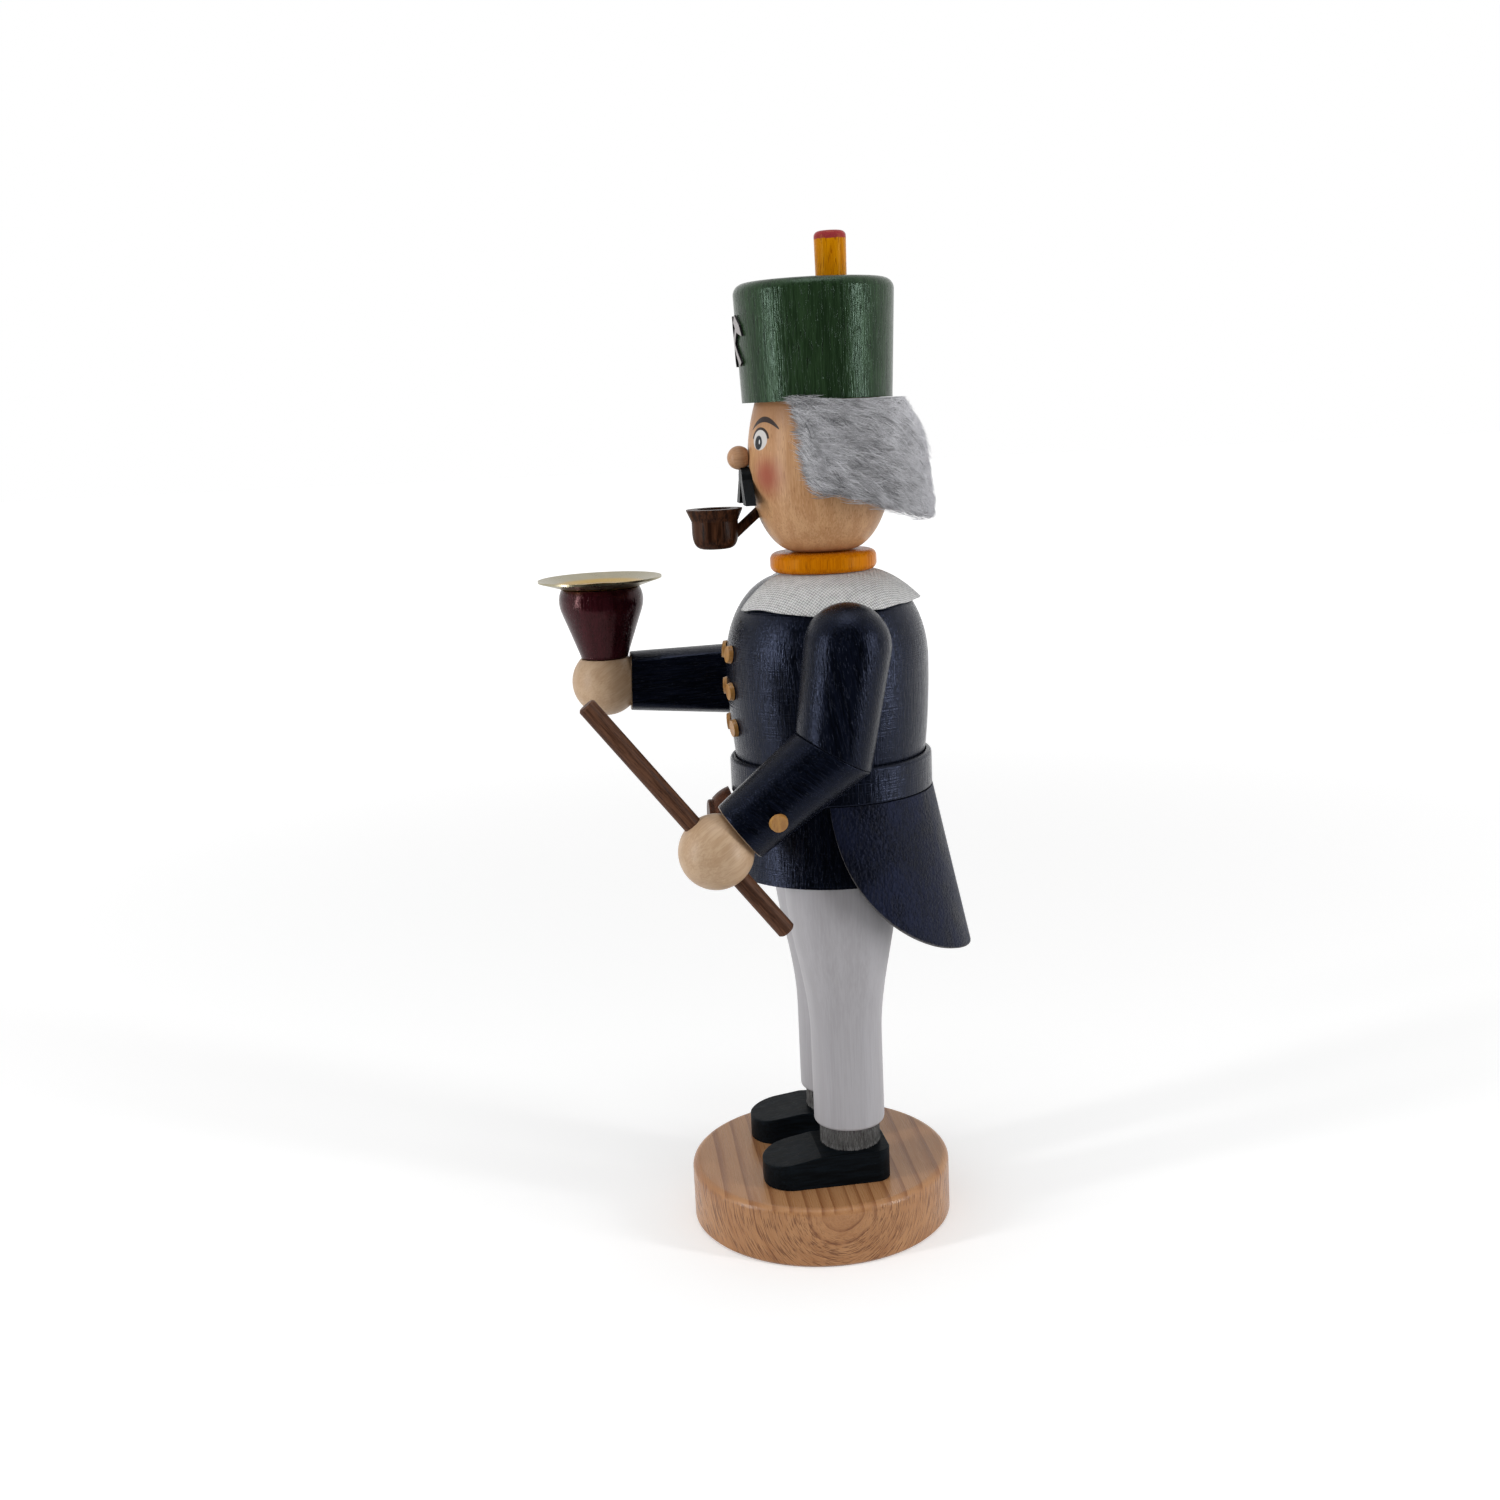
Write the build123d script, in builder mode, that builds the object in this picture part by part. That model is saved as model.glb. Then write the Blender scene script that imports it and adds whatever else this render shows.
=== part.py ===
from build123d import *

import os
from math import cos, radians, sin

os.makedirs("parts", exist_ok=True)

# A turned miner who smokes: +Z is up, the figure faces -Y and its left side is +X.
# The origin is the middle of the stand's underside. All sizes are millimetres.

# Stand
base_radius = 37.5
base_height = 17.0
base_rounding = 2.0
base_foot = 0.8
figure_y = 7.6          # the figure stands behind the middle of its stand

# Clearances
glue_gap = 0.05         # radial room round a glued peg
free_gap = 0.4          # room between the two halves of the figure
rest_gap = 0.1          # room under a piece that lies on a curved face

# Shoes and ankles
shoe_length = 35.5
shoe_width = 18.2
shoe_outset = 1.4       # shoe middle outside the leg axis
heel_behind = 9.9       # heel behind the leg axis
heel_height = 9.2
toe_height = 6.5
toe_round = 8.2
heel_round = 4.5
cap_start = 10.3        # the toe cap slopes down from here, in front of the leg axis
left_splay = 2.0
right_splay = 5.0
shoe_edge = 0.5
ankle_inset = 1.9       # ankle inside the trouser leg
ankle_show = 6.4
ankle_peg_radius = 3.0
ankle_peg_up = 10.0
ankle_peg_into_base = 8.0

# Legs
leg_x = 13.0
leg_forward = 0.6       # leg axes in front of the figure's axis
leg_radius = 10.0
leg_hem = 1.0
leg_length = 72.4
leg_straight = 25.2     # straight part below the flare
thigh_radius = 15.6
crotch_gap = 0.15       # half of the gap between the two inner flats
leg_tenon_radius = 5.0
leg_tenon_length = 8.0

# Hips and belt
belt_radius = 28.2
belt_step = 4.2         # the belt's wall below the torso's seat
skirt_tuck = 1.4        # the skirt's top inside the belt's edge
skirt_flare = 2.3       # the skirt's hem outside its top
skirt_height = 22.3
belt_bore_gap = 0.05
seat_height = 5.7       # belt underside to the torso's seat
lip_height = 4.3
lip_wall = 1.4
belt_rounding = 1.1
lip_share = 0.8         # most of the lip's wall that its rounding may take
air_hole_radius = 2.5
air_hole_wall = 1.3     # wood between the plate and the upright air hole
air_hole_drop = 15.0

# Incense plate
plate_radius = 13.5
plate_sheet = 0.8
plate_rim = 1.6
plate_recess = 0.8

# Leather back apron
leather = 1.5
apron_flare = 11.5      # degrees off the vertical
apron_drop = 46.6
apron_forward = 5.0     # how far its front edges reach in front of the figure axis
apron_edge_lean = 0.05  # backward lean of the front edge where it starts
apron_hem_fall = 0.32   # fall of the hem where it ends at the back
apron_edge_pull = 0.97
apron_hem_pull = 1.5

# Pouch on the belt
pouch_radius = 10.2
pouch_sink = 2.0        # middle of the ball inside the belt's surface
pouch_drop = 8.3        # middle of the ball below the belt's underside
pouch_front = 7.5       # flat on the ball's front
pouch_peg_radius = 2.0
pouch_peg_length = 5.0
pouch_button_radius = 6.4
pouch_button_depth = 1.5
pouch_button_rounding = 0.5
pouch_button_peg = 1.2
pouch_button_peg_length = 2.4

# Torso
foot_gap = 0.9          # radial room round the torso's foot
torso_bulge = 2.1       # widest part outside the waist
torso_height = 54.2
bulge_height = 30.0     # widest level above the seat
torso_flat = 11.0       # flat top
waist_wall = 5.4
chamber_straight = 30.0
chamber_roof = 6.2      # wood left round the neck hole

# Neck and collar
cloth = 0.6
collar_lift = 0.3
collar_slope = 39.0     # degrees along the shoulder's ellipse where the hem lies
collar_left = 10.0      # degrees from the throat to the cloth's left edge
collar_right = 38.0
ring_radius = 14.6
ring_height = 5.4
ring_rounding = 1.9
ring_share = 0.46       # most of the ring's height that each rounding may take

# Head
head_radius = 19.5
chin_inset = 12.7       # the chin's flat inside the widest part
head_height = 40.3
cheek_height = 23.7     # widest level above the chin
crown_inset = 2.6
neck_tenon_radius = 6.0
neck_tenon_length = 11.5
flue_radius = 4.0
mouth_radius = 2.5
mouth_height = 16.4
crown_tenon_radius = 6.0
crown_tenon_length = 6.0

# Face pieces
nose_radius = 3.2
nose_height = 26.0
nose_out = 2.4          # middle of the ball in front of the face
nose_peg_radius = 1.2
nose_peg_length = 4.0
moustache_depth = 2.3   # in front of the face
moustache_inside = 0.5  # cut into the face's curve at the middle
moustache_width = 8.6   # under the nose
moustache_foot = 22.6   # across the lower ends
moustache_gap = 9.2     # between the lower ends
moustache_notch = 5.8   # the notch's top above the lower ends
moustache_notch_round = 0.7
moustache_height = 10.2
moustache_low = 13.6    # lower ends above the chin
moustache_bridge = 3.6

# Hair
hair_back = 2.6         # the fur's ring lies further back than the head
hair_depth = 7.9        # fur outside the head
hair_front = 68.0       # degrees from the face to the fur's edge
hair_lift = 0.3
hair_top_depth = 1.4
hair_low_front = 15.5   # lower edge above the chin at the temples
hair_low_back = 7.2
hair_low_lean = 0.1     # outward lean of the fur at its lower edge
hair_top_lean = 0.6     # inward lean under the hat

# Pipe
bowl_radius = 6.3
bowl_flare = 1.35
bowl_rim_height = 0.3     # upright edge of the rim
bowl_flare_height = 3.0
bowl_height = 10.8
bowl_tuck = 3.25        # the foot inside the bowl's side
bowl_belly = 5.4        # the wall is upright from here
bowl_wall = 1.7
bowl_bore_depth = 8.0
bowl_forward = 9.8      # bowl axis in front of the face
bowl_lip_drop = 3.6     # bowl rim below the mouth's middle
stem_radius = 1.4
stem_drop = 5.2         # where the stem enters the face, below the mouth's middle
stem_fall = 40.0        # degrees
stem_in_face = 3.0
stem_in_bowl = 1.4

# Hat
hat_overhang = 0.75     # the hat's lower edge outside the head
hat_flare = 1.3         # the hat's top outside its lower edge
hat_height = 30.9
hat_rounding = 3.0
plume_foot_radius = 4.15
plume_top_radius = 4.3
plume_height = 12.6
plume_rounding = 1.4
plume_back = 5.0
plume_peg_radius = 2.5
plume_peg_length = 6.0
emblem_height = 15.5    # middle above the hat's lower edge
emblem_length = 14.6
emblem_handle = 1.5
emblem_head_length = 5.6
emblem_head_width = 2.6
emblem_sheet = 0.7
emblem_lean = 42.0

# Arms
arm_flat_depth = 5.9    # arm axis outside the flat on its inner side
shoulder_radius = 11.4
upper_arm_radius = 10.4 # at the elbow
cuff_radius = 8.7
upper_arm_length = 27.7
forearm_length = 32.1
shoulder_drop = 16.0
shoulder_back = 0.0
left_swing = 9.7        # upper arm forward of straight down
right_swing = 50.7
left_rise = -37.4       # forearm above the horizontal
right_rise = 2.5
shoulder_dowel_radius = 4.0
shoulder_dowel_in_torso = 5.0
shoulder_dowel_in_arm = 7.0
elbow_dowel_radius = 2.0
elbow_dowel_reach = 6.0
wrist_peg_radius = 2.5
wrist_peg_length = 4.0

# Hands and what they hold
hand_radius = 10.0
wrist_cut = 2.1         # cut off the left ball at the cuff
right_wrist_cut = 3.0   # cut off the right ball at the cuff
stick_radius = 2.5
stick_above = 51.4
stick_below = 29.1
stick_edge = 0.5
cup_cut = 3.0           # cut off the ball under the cup
cup_wall = 3.75         # wood outside the brass at the mouth
cup_bulge = 0.9         # widest part outside the mouth
cup_side_inset = 1.9    # at the end of its straight side, inside the widest part
cup_foot_inset = 5.3
cup_foot_round = 0.9
cup_side = 10.3
cup_belly = 17.4
cup_mouth_lean = 0.6    # inward lean at the mouth
cup_height = 20.6
cup_peg_radius = 2.5
cup_peg_length = 4.0

# Brass candle socket
candle_radius = 7.05
brass = 0.6
socket_depth = 11.0
drip_ledge = 2.95       # flat of the drip plate outside the socket
drip_flare = 7.4        # its rising rim
drip_rise = 2.3

# Buttons
button_radius = 2.5
button_depth = 1.1
button_taper = 12.0     # degrees
button_shank_radius = 1.0
button_shank_length = 3.5
button_low = 13.4       # lowest row above the torso's seat
button_pitch = 10.2
button_rows = 3
button_spread = 11.5    # degrees to each side of the front
cuff_button_behind = 9.8
cuff_button_turn = 15.0

# Sizes, levels and places that follow from these
ankle_radius = leg_radius - ankle_inset
spigot_radius = belt_radius - belt_step
skirt_top_radius = belt_radius - skirt_tuck
skirt_radius = skirt_top_radius + skirt_flare
air_hole_out = plate_radius + air_hole_wall + air_hole_radius
waist_radius = belt_radius - lip_wall - foot_gap
torso_radius = waist_radius + torso_bulge
chamber_radius = waist_radius - waist_wall
chin_radius = head_radius - chin_inset
crown_radius = head_radius - crown_inset
hair_radius = head_radius + hair_depth
hair_top_radius = head_radius + hair_top_depth
hat_low_radius = head_radius + hat_overhang
hat_top_radius = hat_low_radius + hat_flare
bowl_rim_radius = bowl_radius + bowl_flare
bowl_foot_radius = bowl_radius - bowl_tuck
bowl_bore = bowl_radius - bowl_wall
hand_seats = {"left": hand_radius - wrist_cut, "right": hand_radius - right_wrist_cut}  # in front of the cuff
cup_seat = hand_radius - cup_cut     # flat on the hand above the ball's middle
socket_radius = candle_radius + brass
cup_mouth_radius = socket_radius + cup_wall
cup_radius = cup_mouth_radius + cup_bulge
cup_side_radius = cup_radius - cup_side_inset
cup_foot_radius = cup_radius - cup_foot_inset
drip_flat_radius = socket_radius + drip_ledge
drip_radius = drip_flat_radius + drip_flare
leg_y = figure_y - leg_forward
heel_z = base_height + heel_height
leg_z = heel_z + ankle_show
hip_z = leg_z + leg_length
belt_z = hip_z + skirt_height
seat_z = belt_z + seat_height
belt_top_z = seat_z + lip_height
bulge_z = seat_z + bulge_height
torso_top_z = seat_z + torso_height
ring_z = torso_top_z + cloth
chin_z = ring_z + ring_height
cheek_z = chin_z + cheek_height
hat_z = chin_z + head_height
hat_top_z = hat_z + hat_height
mouth_z = chin_z + mouth_height
face_y = figure_y - head_radius
arm_flat_x = max(torso_radius, belt_radius) + free_gap
arm_x = arm_flat_x + arm_flat_depth
figure_axis = Axis((0, figure_y, 0), (0, 0, 1))
sides = {"left": 1, "right": -1}


def upright(azimuth):
    """Plane through the figure's axis: local x points out at this azimuth from +X, local y is up."""
    turn = radians(azimuth)
    return Plane((0, figure_y, 0), x_dir=(cos(turn), sin(turn), 0), z_dir=(sin(turn), -cos(turn), 0))


def lengthwise(start, direction):
    """Plane in which local y runs from the start along a direction that lies square to X."""
    return Plane(start, x_dir=(1, 0, 0), z_dir=Vector(1, 0, 0).cross(direction))


def across(start, direction):
    """Plane whose normal is the direction."""
    return Plane(start, x_dir=(1, 0, 0), z_dir=direction)


def write(piece, name):
    piece.part.label = name
    export_step(piece.part, f"parts/{name}.step")


front = upright(0)

# Stand: a turned disc with two blind holes for the ankle pegs
with BuildPart() as base_disc:
    with BuildSketch():
        Circle(base_radius)
    extrude(amount=base_height)
    fillet(base_disc.faces().sort_by(Axis.Z)[-1].edges(), base_rounding)
    chamfer(base_disc.faces().sort_by(Axis.Z)[0].edges(), base_foot)
    with BuildSketch(Plane.XY.offset(base_height)):
        with Locations((leg_x, leg_y), (-leg_x, leg_y)):
            Circle(ankle_peg_radius + glue_gap)
    extrude(amount=-ankle_peg_into_base, mode=Mode.SUBTRACT)
write(base_disc, "base_disc")

for side, splay in (("left", left_splay), ("right", right_splay)):
    sign = sides[side]
    leg_axis = Axis((sign * leg_x, leg_y, 0), (0, 0, 1))
    leg_plane = Plane((sign * leg_x, leg_y, 0), x_dir=(1, 0, 0), z_dir=(0, -1, 0))

    # Shoe: rounded toe, high heel and a toe cap that slopes down
    turn = radians(sign * splay)
    sole = Plane((sign * leg_x, leg_y, base_height), x_dir=(cos(turn), sin(turn), 0))
    shoe_side = Plane(sole.origin, x_dir=sole.y_dir, z_dir=sole.x_dir)
    toe_end = heel_behind - shoe_length
    with BuildPart() as shoe:
        with BuildSketch(sole):
            with Locations((sign * shoe_outset, heel_behind - shoe_length / 2)):
                Rectangle(shoe_width, shoe_length)
            fillet(vertices().group_by(Axis.Y)[0], toe_round)
            fillet(vertices().group_by(Axis.Y)[-1], heel_round)
        extrude(amount=heel_height)
        with BuildSketch(shoe_side):
            with BuildLine():
                Polyline(
                    (-cap_start, heel_height),
                    (toe_end, toe_height),
                    (toe_end, heel_height),
                    close=True,
                )
            make_face()
        extrude(amount=shoe_width + shoe_outset, both=True, mode=Mode.SUBTRACT)
        chamfer(shoe.faces().sort_by(Axis.Z)[0].edges(), shoe_edge)
        with BuildSketch(sole):
            Circle(ankle_peg_radius + glue_gap)
        extrude(amount=heel_height, mode=Mode.SUBTRACT)
    write(shoe, f"{side}_shoe")

    # Ankle: a turned sock with a peg into the leg and one through the shoe into the stand
    with BuildPart() as ankle:
        with BuildSketch(leg_plane):
            with BuildLine():
                Polyline(
                    (0, base_height - ankle_peg_into_base + rest_gap),
                    (ankle_peg_radius, base_height - ankle_peg_into_base + rest_gap),
                    (ankle_peg_radius, heel_z),
                    (ankle_radius, heel_z),
                    (ankle_radius, leg_z),
                    (ankle_peg_radius, leg_z),
                    (ankle_peg_radius, leg_z + ankle_peg_up - rest_gap),
                    (0, leg_z + ankle_peg_up - rest_gap),
                    close=True,
                )
            make_face()
        revolve(axis=leg_axis)
    write(ankle, f"{side}_ankle")

    # Leg: turned, with a flare under the coat, a tenon on top and a flat where the pair meets
    with BuildPart() as leg:
        with BuildSketch(leg_plane):
            with BuildLine():
                Polyline(
                    (0, hip_z + leg_tenon_length - rest_gap),
                    (0, leg_z),
                    (leg_radius - leg_hem, leg_z),
                )
                RadiusArc((leg_radius - leg_hem, leg_z), (leg_radius, leg_z + leg_hem), -leg_hem)
                Line((leg_radius, leg_z + leg_hem), (leg_radius, leg_z + leg_straight))
                Spline(
                    (leg_radius, leg_z + leg_straight),
                    (thigh_radius, hip_z),
                    tangents=((0, 1), (0, 1)),
                )
                Polyline(
                    (thigh_radius, hip_z),
                    (leg_tenon_radius, hip_z),
                    (leg_tenon_radius, hip_z + leg_tenon_length - rest_gap),
                    (0, hip_z + leg_tenon_length - rest_gap),
                )
            make_face()
        revolve(axis=leg_axis)
        split(bisect_by=Plane((sign * crotch_gap, 0, 0), z_dir=(sign, 0, 0)), keep=Keep.TOP)
        with BuildSketch(Plane.XY.offset(leg_z)):
            with Locations((sign * leg_x, leg_y)):
                Circle(ankle_peg_radius + glue_gap)
        extrude(amount=ankle_peg_up, mode=Mode.SUBTRACT)
    write(leg, f"{side}_leg")

# Hips: the coat's skirt with a spigot that carries the belt and the incense plate
pouch_y = figure_y - belt_radius + pouch_sink
pouch_z = belt_z - pouch_drop
pouch_peg_end = pouch_y + pouch_sink + pouch_peg_length
with BuildPart() as hip_block:
    with BuildSketch(front):
        with BuildLine():
            Polyline(
                (0, hip_z),
                (skirt_radius, hip_z),
                (skirt_top_radius, belt_z),
                (spigot_radius, belt_z),
                (spigot_radius, seat_z),
                (plate_radius + rest_gap, seat_z),
                (plate_radius + rest_gap, seat_z - plate_recess),
                (0, seat_z - plate_recess),
                close=True,
            )
        make_face()
    revolve(axis=figure_axis)
    with BuildSketch(Plane.XY.offset(hip_z)):
        with Locations((leg_x, leg_y), (-leg_x, leg_y)):
            Circle(leg_tenon_radius + glue_gap)
    extrude(amount=leg_tenon_length, mode=Mode.SUBTRACT)
    with BuildSketch(Plane.XY.offset(seat_z)):
        with Locations((0, figure_y + air_hole_out)):
            Circle(air_hole_radius)
    extrude(amount=-air_hole_drop, mode=Mode.SUBTRACT)
    with BuildSketch(across((0, figure_y + air_hole_out, seat_z - air_hole_drop), (0, 1, 0))):
        Circle(air_hole_radius)
    extrude(amount=skirt_radius, mode=Mode.SUBTRACT)
    with BuildSketch(across((0, figure_y - skirt_radius, pouch_z), (0, 1, 0))):
        Circle(pouch_peg_radius + glue_gap)
    extrude(amount=pouch_peg_end - figure_y + skirt_radius, mode=Mode.SUBTRACT)
write(hip_block, "hip_block")

# Belt: a ring on the spigot, with a lip that takes the torso's foot
with BuildPart() as belt_ring:
    with BuildSketch(front):
        with BuildLine():
            Polyline(
                (spigot_radius + belt_bore_gap, belt_z),
                (belt_radius, belt_z),
                (belt_radius, belt_top_z),
                (belt_radius - lip_wall, belt_top_z),
                (belt_radius - lip_wall, seat_z),
                (spigot_radius + belt_bore_gap, seat_z),
                close=True,
            )
        make_face()
    revolve(axis=figure_axis)
    outer = belt_ring.edges().filter_by(GeomType.CIRCLE).group_by(SortBy.RADIUS)[-1]
    fillet(outer.sort_by(Axis.Z)[-1], min(belt_rounding, lip_share * lip_wall))
    fillet(outer.sort_by(Axis.Z)[0], min(belt_rounding, lip_share * lip_wall) / 2)
write(belt_ring, "belt_ring")

# Incense plate: a dished tin in the recess on top of the hips
with BuildPart() as incense_plate:
    with BuildSketch(front):
        with BuildLine():
            plate_z = seat_z - plate_recess
            Polyline(
                (0, plate_z),
                (plate_radius, plate_z),
                (plate_radius, plate_z + plate_sheet + plate_rim),
                (plate_radius - plate_sheet, plate_z + plate_sheet + plate_rim),
                (plate_radius - plate_sheet - plate_rim, plate_z + plate_sheet),
                (0, plate_z + plate_sheet),
                close=True,
            )
        make_face()
    revolve(axis=figure_axis)
write(incense_plate, "incense_plate")

# Back apron: a half disc of leather that hangs from under the belt and stands off the skirt
apron_top_z = belt_z - glue_gap
apron_low_z = apron_top_z - apron_drop
apron_in = skirt_top_radius + rest_gap
apron_out = apron_in + leather
flare_run = apron_drop * sin(radians(apron_flare)) / cos(radians(apron_flare))
back_reach = apron_out + flare_run
with BuildPart() as back_apron:
    with BuildSketch(upright(-90)):
        with BuildLine():
            Polyline(
                (apron_in, apron_top_z),
                (apron_out, apron_top_z),
                (apron_out + flare_run, apron_low_z),
                (apron_in + flare_run, apron_low_z),
                close=True,
            )
        make_face()
    revolve(axis=figure_axis)
    with BuildSketch(Plane((0, figure_y, 0), x_dir=(0, 1, 0), z_dir=(1, 0, 0))):
        with BuildLine():
            Spline(
                (-apron_forward, apron_top_z),
                (back_reach, apron_low_z),
                tangents=((apron_edge_lean, -1), (1, -apron_hem_fall)),
                tangent_scalars=(apron_edge_pull, apron_hem_pull),
            )
            Polyline(
                (back_reach, apron_low_z),
                (back_reach, apron_top_z),
                (-apron_forward, apron_top_z),
            )
        make_face()
    extrude(amount=back_reach, both=True, mode=Mode.INTERSECT)
write(back_apron, "back_apron")

# Pouch: a wooden ball cut to the belt's curve, with a round button on its front
with BuildPart() as belt_pouch:
    with Locations((0, pouch_y, pouch_z)):
        Sphere(pouch_radius)
    with BuildSketch(Plane.XY.offset(pouch_z - pouch_radius)):
        with Locations((0, figure_y)):
            Circle(max(belt_radius, skirt_radius) + rest_gap)
    extrude(amount=2 * pouch_radius, mode=Mode.SUBTRACT)
    split(bisect_by=Plane((0, pouch_y - pouch_front, 0), z_dir=(0, 1, 0)), keep=Keep.TOP)
    with BuildSketch(across((0, pouch_y - pouch_front / 2, pouch_z), (0, 1, 0))):
        Circle(pouch_peg_radius)
    extrude(amount=pouch_peg_end - rest_gap - pouch_y + pouch_front / 2)
    with BuildSketch(across((0, pouch_y - pouch_front, pouch_z), (0, 1, 0))):
        Circle(pouch_button_peg + glue_gap)
    extrude(amount=pouch_button_peg_length, mode=Mode.SUBTRACT)
write(belt_pouch, "belt_pouch")

with BuildPart() as pouch_button:
    with BuildSketch(across((0, pouch_y - pouch_front, pouch_z), (0, -1, 0))):
        Circle(pouch_button_radius)
    extrude(amount=pouch_button_depth)
    fillet(pouch_button.faces().sort_by(Axis.Y)[0].edges(), pouch_button_rounding)
    with BuildSketch(across((0, pouch_y - pouch_front, pouch_z), (0, 1, 0))):
        Circle(pouch_button_peg)
    extrude(amount=pouch_button_peg_length - rest_gap)
write(pouch_button, "pouch_button")

# Places of the arms, worked out once and used by every piece on them
arms = {}
for side, swing, rise in (("left", left_swing, left_rise), ("right", right_swing, right_rise)):
    down = Vector(0, -sin(radians(swing)), -cos(radians(swing)))
    fore = Vector(0, -cos(radians(rise)), sin(radians(rise)))
    shoulder = Vector(sides[side] * arm_x, figure_y + shoulder_back, torso_top_z - shoulder_drop)
    elbow = shoulder + down * upper_arm_length
    cuff = elbow + fore * forearm_length
    arms[side] = {
        "sign": sides[side],
        "down": down,
        "fore": fore,
        "mitre": (down + fore).normalized(),
        "shoulder": shoulder,
        "elbow": elbow,
        "cuff": cuff,
        "hand": cuff + fore * hand_seats[side],
        "grip": Vector(1, 0, 0).cross(fore) * -1,
    }

# Torso: a turned shell, open below, with a smoke chamber and a hole for the head's tenon
with BuildPart() as torso:
    with BuildSketch(front):
        with BuildLine():
            Line((chamber_radius, seat_z), (waist_radius, seat_z))
            TangentArc((torso_radius, bulge_z), (waist_radius, seat_z), tangent=(0, -1))
            EllipticalCenterArc(
                (torso_flat, bulge_z),
                torso_radius - torso_flat,
                torso_height - bulge_height,
                start_angle=0,
                arc_size=90,
            )
            Polyline(
                (torso_flat, torso_top_z),
                (neck_tenon_radius + glue_gap, torso_top_z),
                (neck_tenon_radius + glue_gap, torso_top_z - chamber_roof),
                (chamber_radius, seat_z + chamber_straight),
                (chamber_radius, seat_z),
            )
        make_face()
    revolve(axis=figure_axis)
    for arm in arms.values():
        outward = (arm["sign"], 0, 0)
        seat = arm["shoulder"].X - arm["sign"] * (arm_flat_depth + free_gap + shoulder_dowel_in_torso)
        start = (seat, arm["shoulder"].Y, arm["shoulder"].Z)
        with BuildSketch(Plane(start, x_dir=(0, 1, 0), z_dir=outward)):
            Circle(shoulder_dowel_radius + glue_gap)
        extrude(amount=shoulder_dowel_in_torso + arm_flat_depth, mode=Mode.SUBTRACT)


def surface_point(part, start, direction):
    """Last point where a ray leaves the part, with the outward normal there."""
    direction = Vector(direction).normalized()
    hits = part.find_intersection_points(Axis(start, direction))
    point, normal = max(hits, key=lambda hit: (hit[0] - Vector(start)).dot(direction))
    return point, normal if normal.dot(direction) > 0 else normal * -1


def button_plane(part, start, direction):
    """Plane on the part's surface, a little proud of it, that carries a button's head."""
    point, normal = surface_point(part, start, direction)
    return Plane(point + normal * rest_gap, z_dir=normal)


button_planes = []
for row in range(button_rows):
    for lean in (-button_spread, button_spread):
        turn = radians(-90 + lean)
        start = (0, figure_y, seat_z + button_low + row * button_pitch)
        button_planes.append(button_plane(torso.part, start, (cos(turn), sin(turn), 0)))

with torso:
    for place in button_planes:
        with BuildSketch(place):
            Circle(button_shank_radius + glue_gap)
        extrude(amount=-button_shank_length, mode=Mode.SUBTRACT)
write(torso, "torso_shell")

# Buttons: flat heads on shanks, in two rows down the coat
with BuildPart() as coat_buttons:
    for place in button_planes:
        with BuildSketch(place):
            Circle(button_radius)
        extrude(amount=button_depth, taper=button_taper)
        with BuildSketch(place):
            Circle(button_shank_radius)
        extrude(amount=rest_gap - button_shank_length)
write(coat_buttons, "coat_buttons")

# Dowels that carry the arms
with BuildPart() as shoulder_dowels:
    for arm in arms.values():
        sign = arm["sign"]
        seat = arm["shoulder"].X - sign * (arm_flat_depth + free_gap + shoulder_dowel_in_torso - rest_gap)
        start = (seat, arm["shoulder"].Y, arm["shoulder"].Z)
        with BuildSketch(Plane(start, x_dir=(0, 1, 0), z_dir=(sign, 0, 0))):
            Circle(shoulder_dowel_radius)
        extrude(amount=shoulder_dowel_in_torso + free_gap + shoulder_dowel_in_arm - 2 * rest_gap)
write(shoulder_dowels, "shoulder_dowels")

with BuildPart() as elbow_dowels:
    for arm in arms.values():
        with BuildSketch(across(arm["elbow"], arm["mitre"])):
            Circle(elbow_dowel_radius)
        extrude(amount=elbow_dowel_reach - rest_gap, both=True)
write(elbow_dowels, "elbow_dowels")

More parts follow.
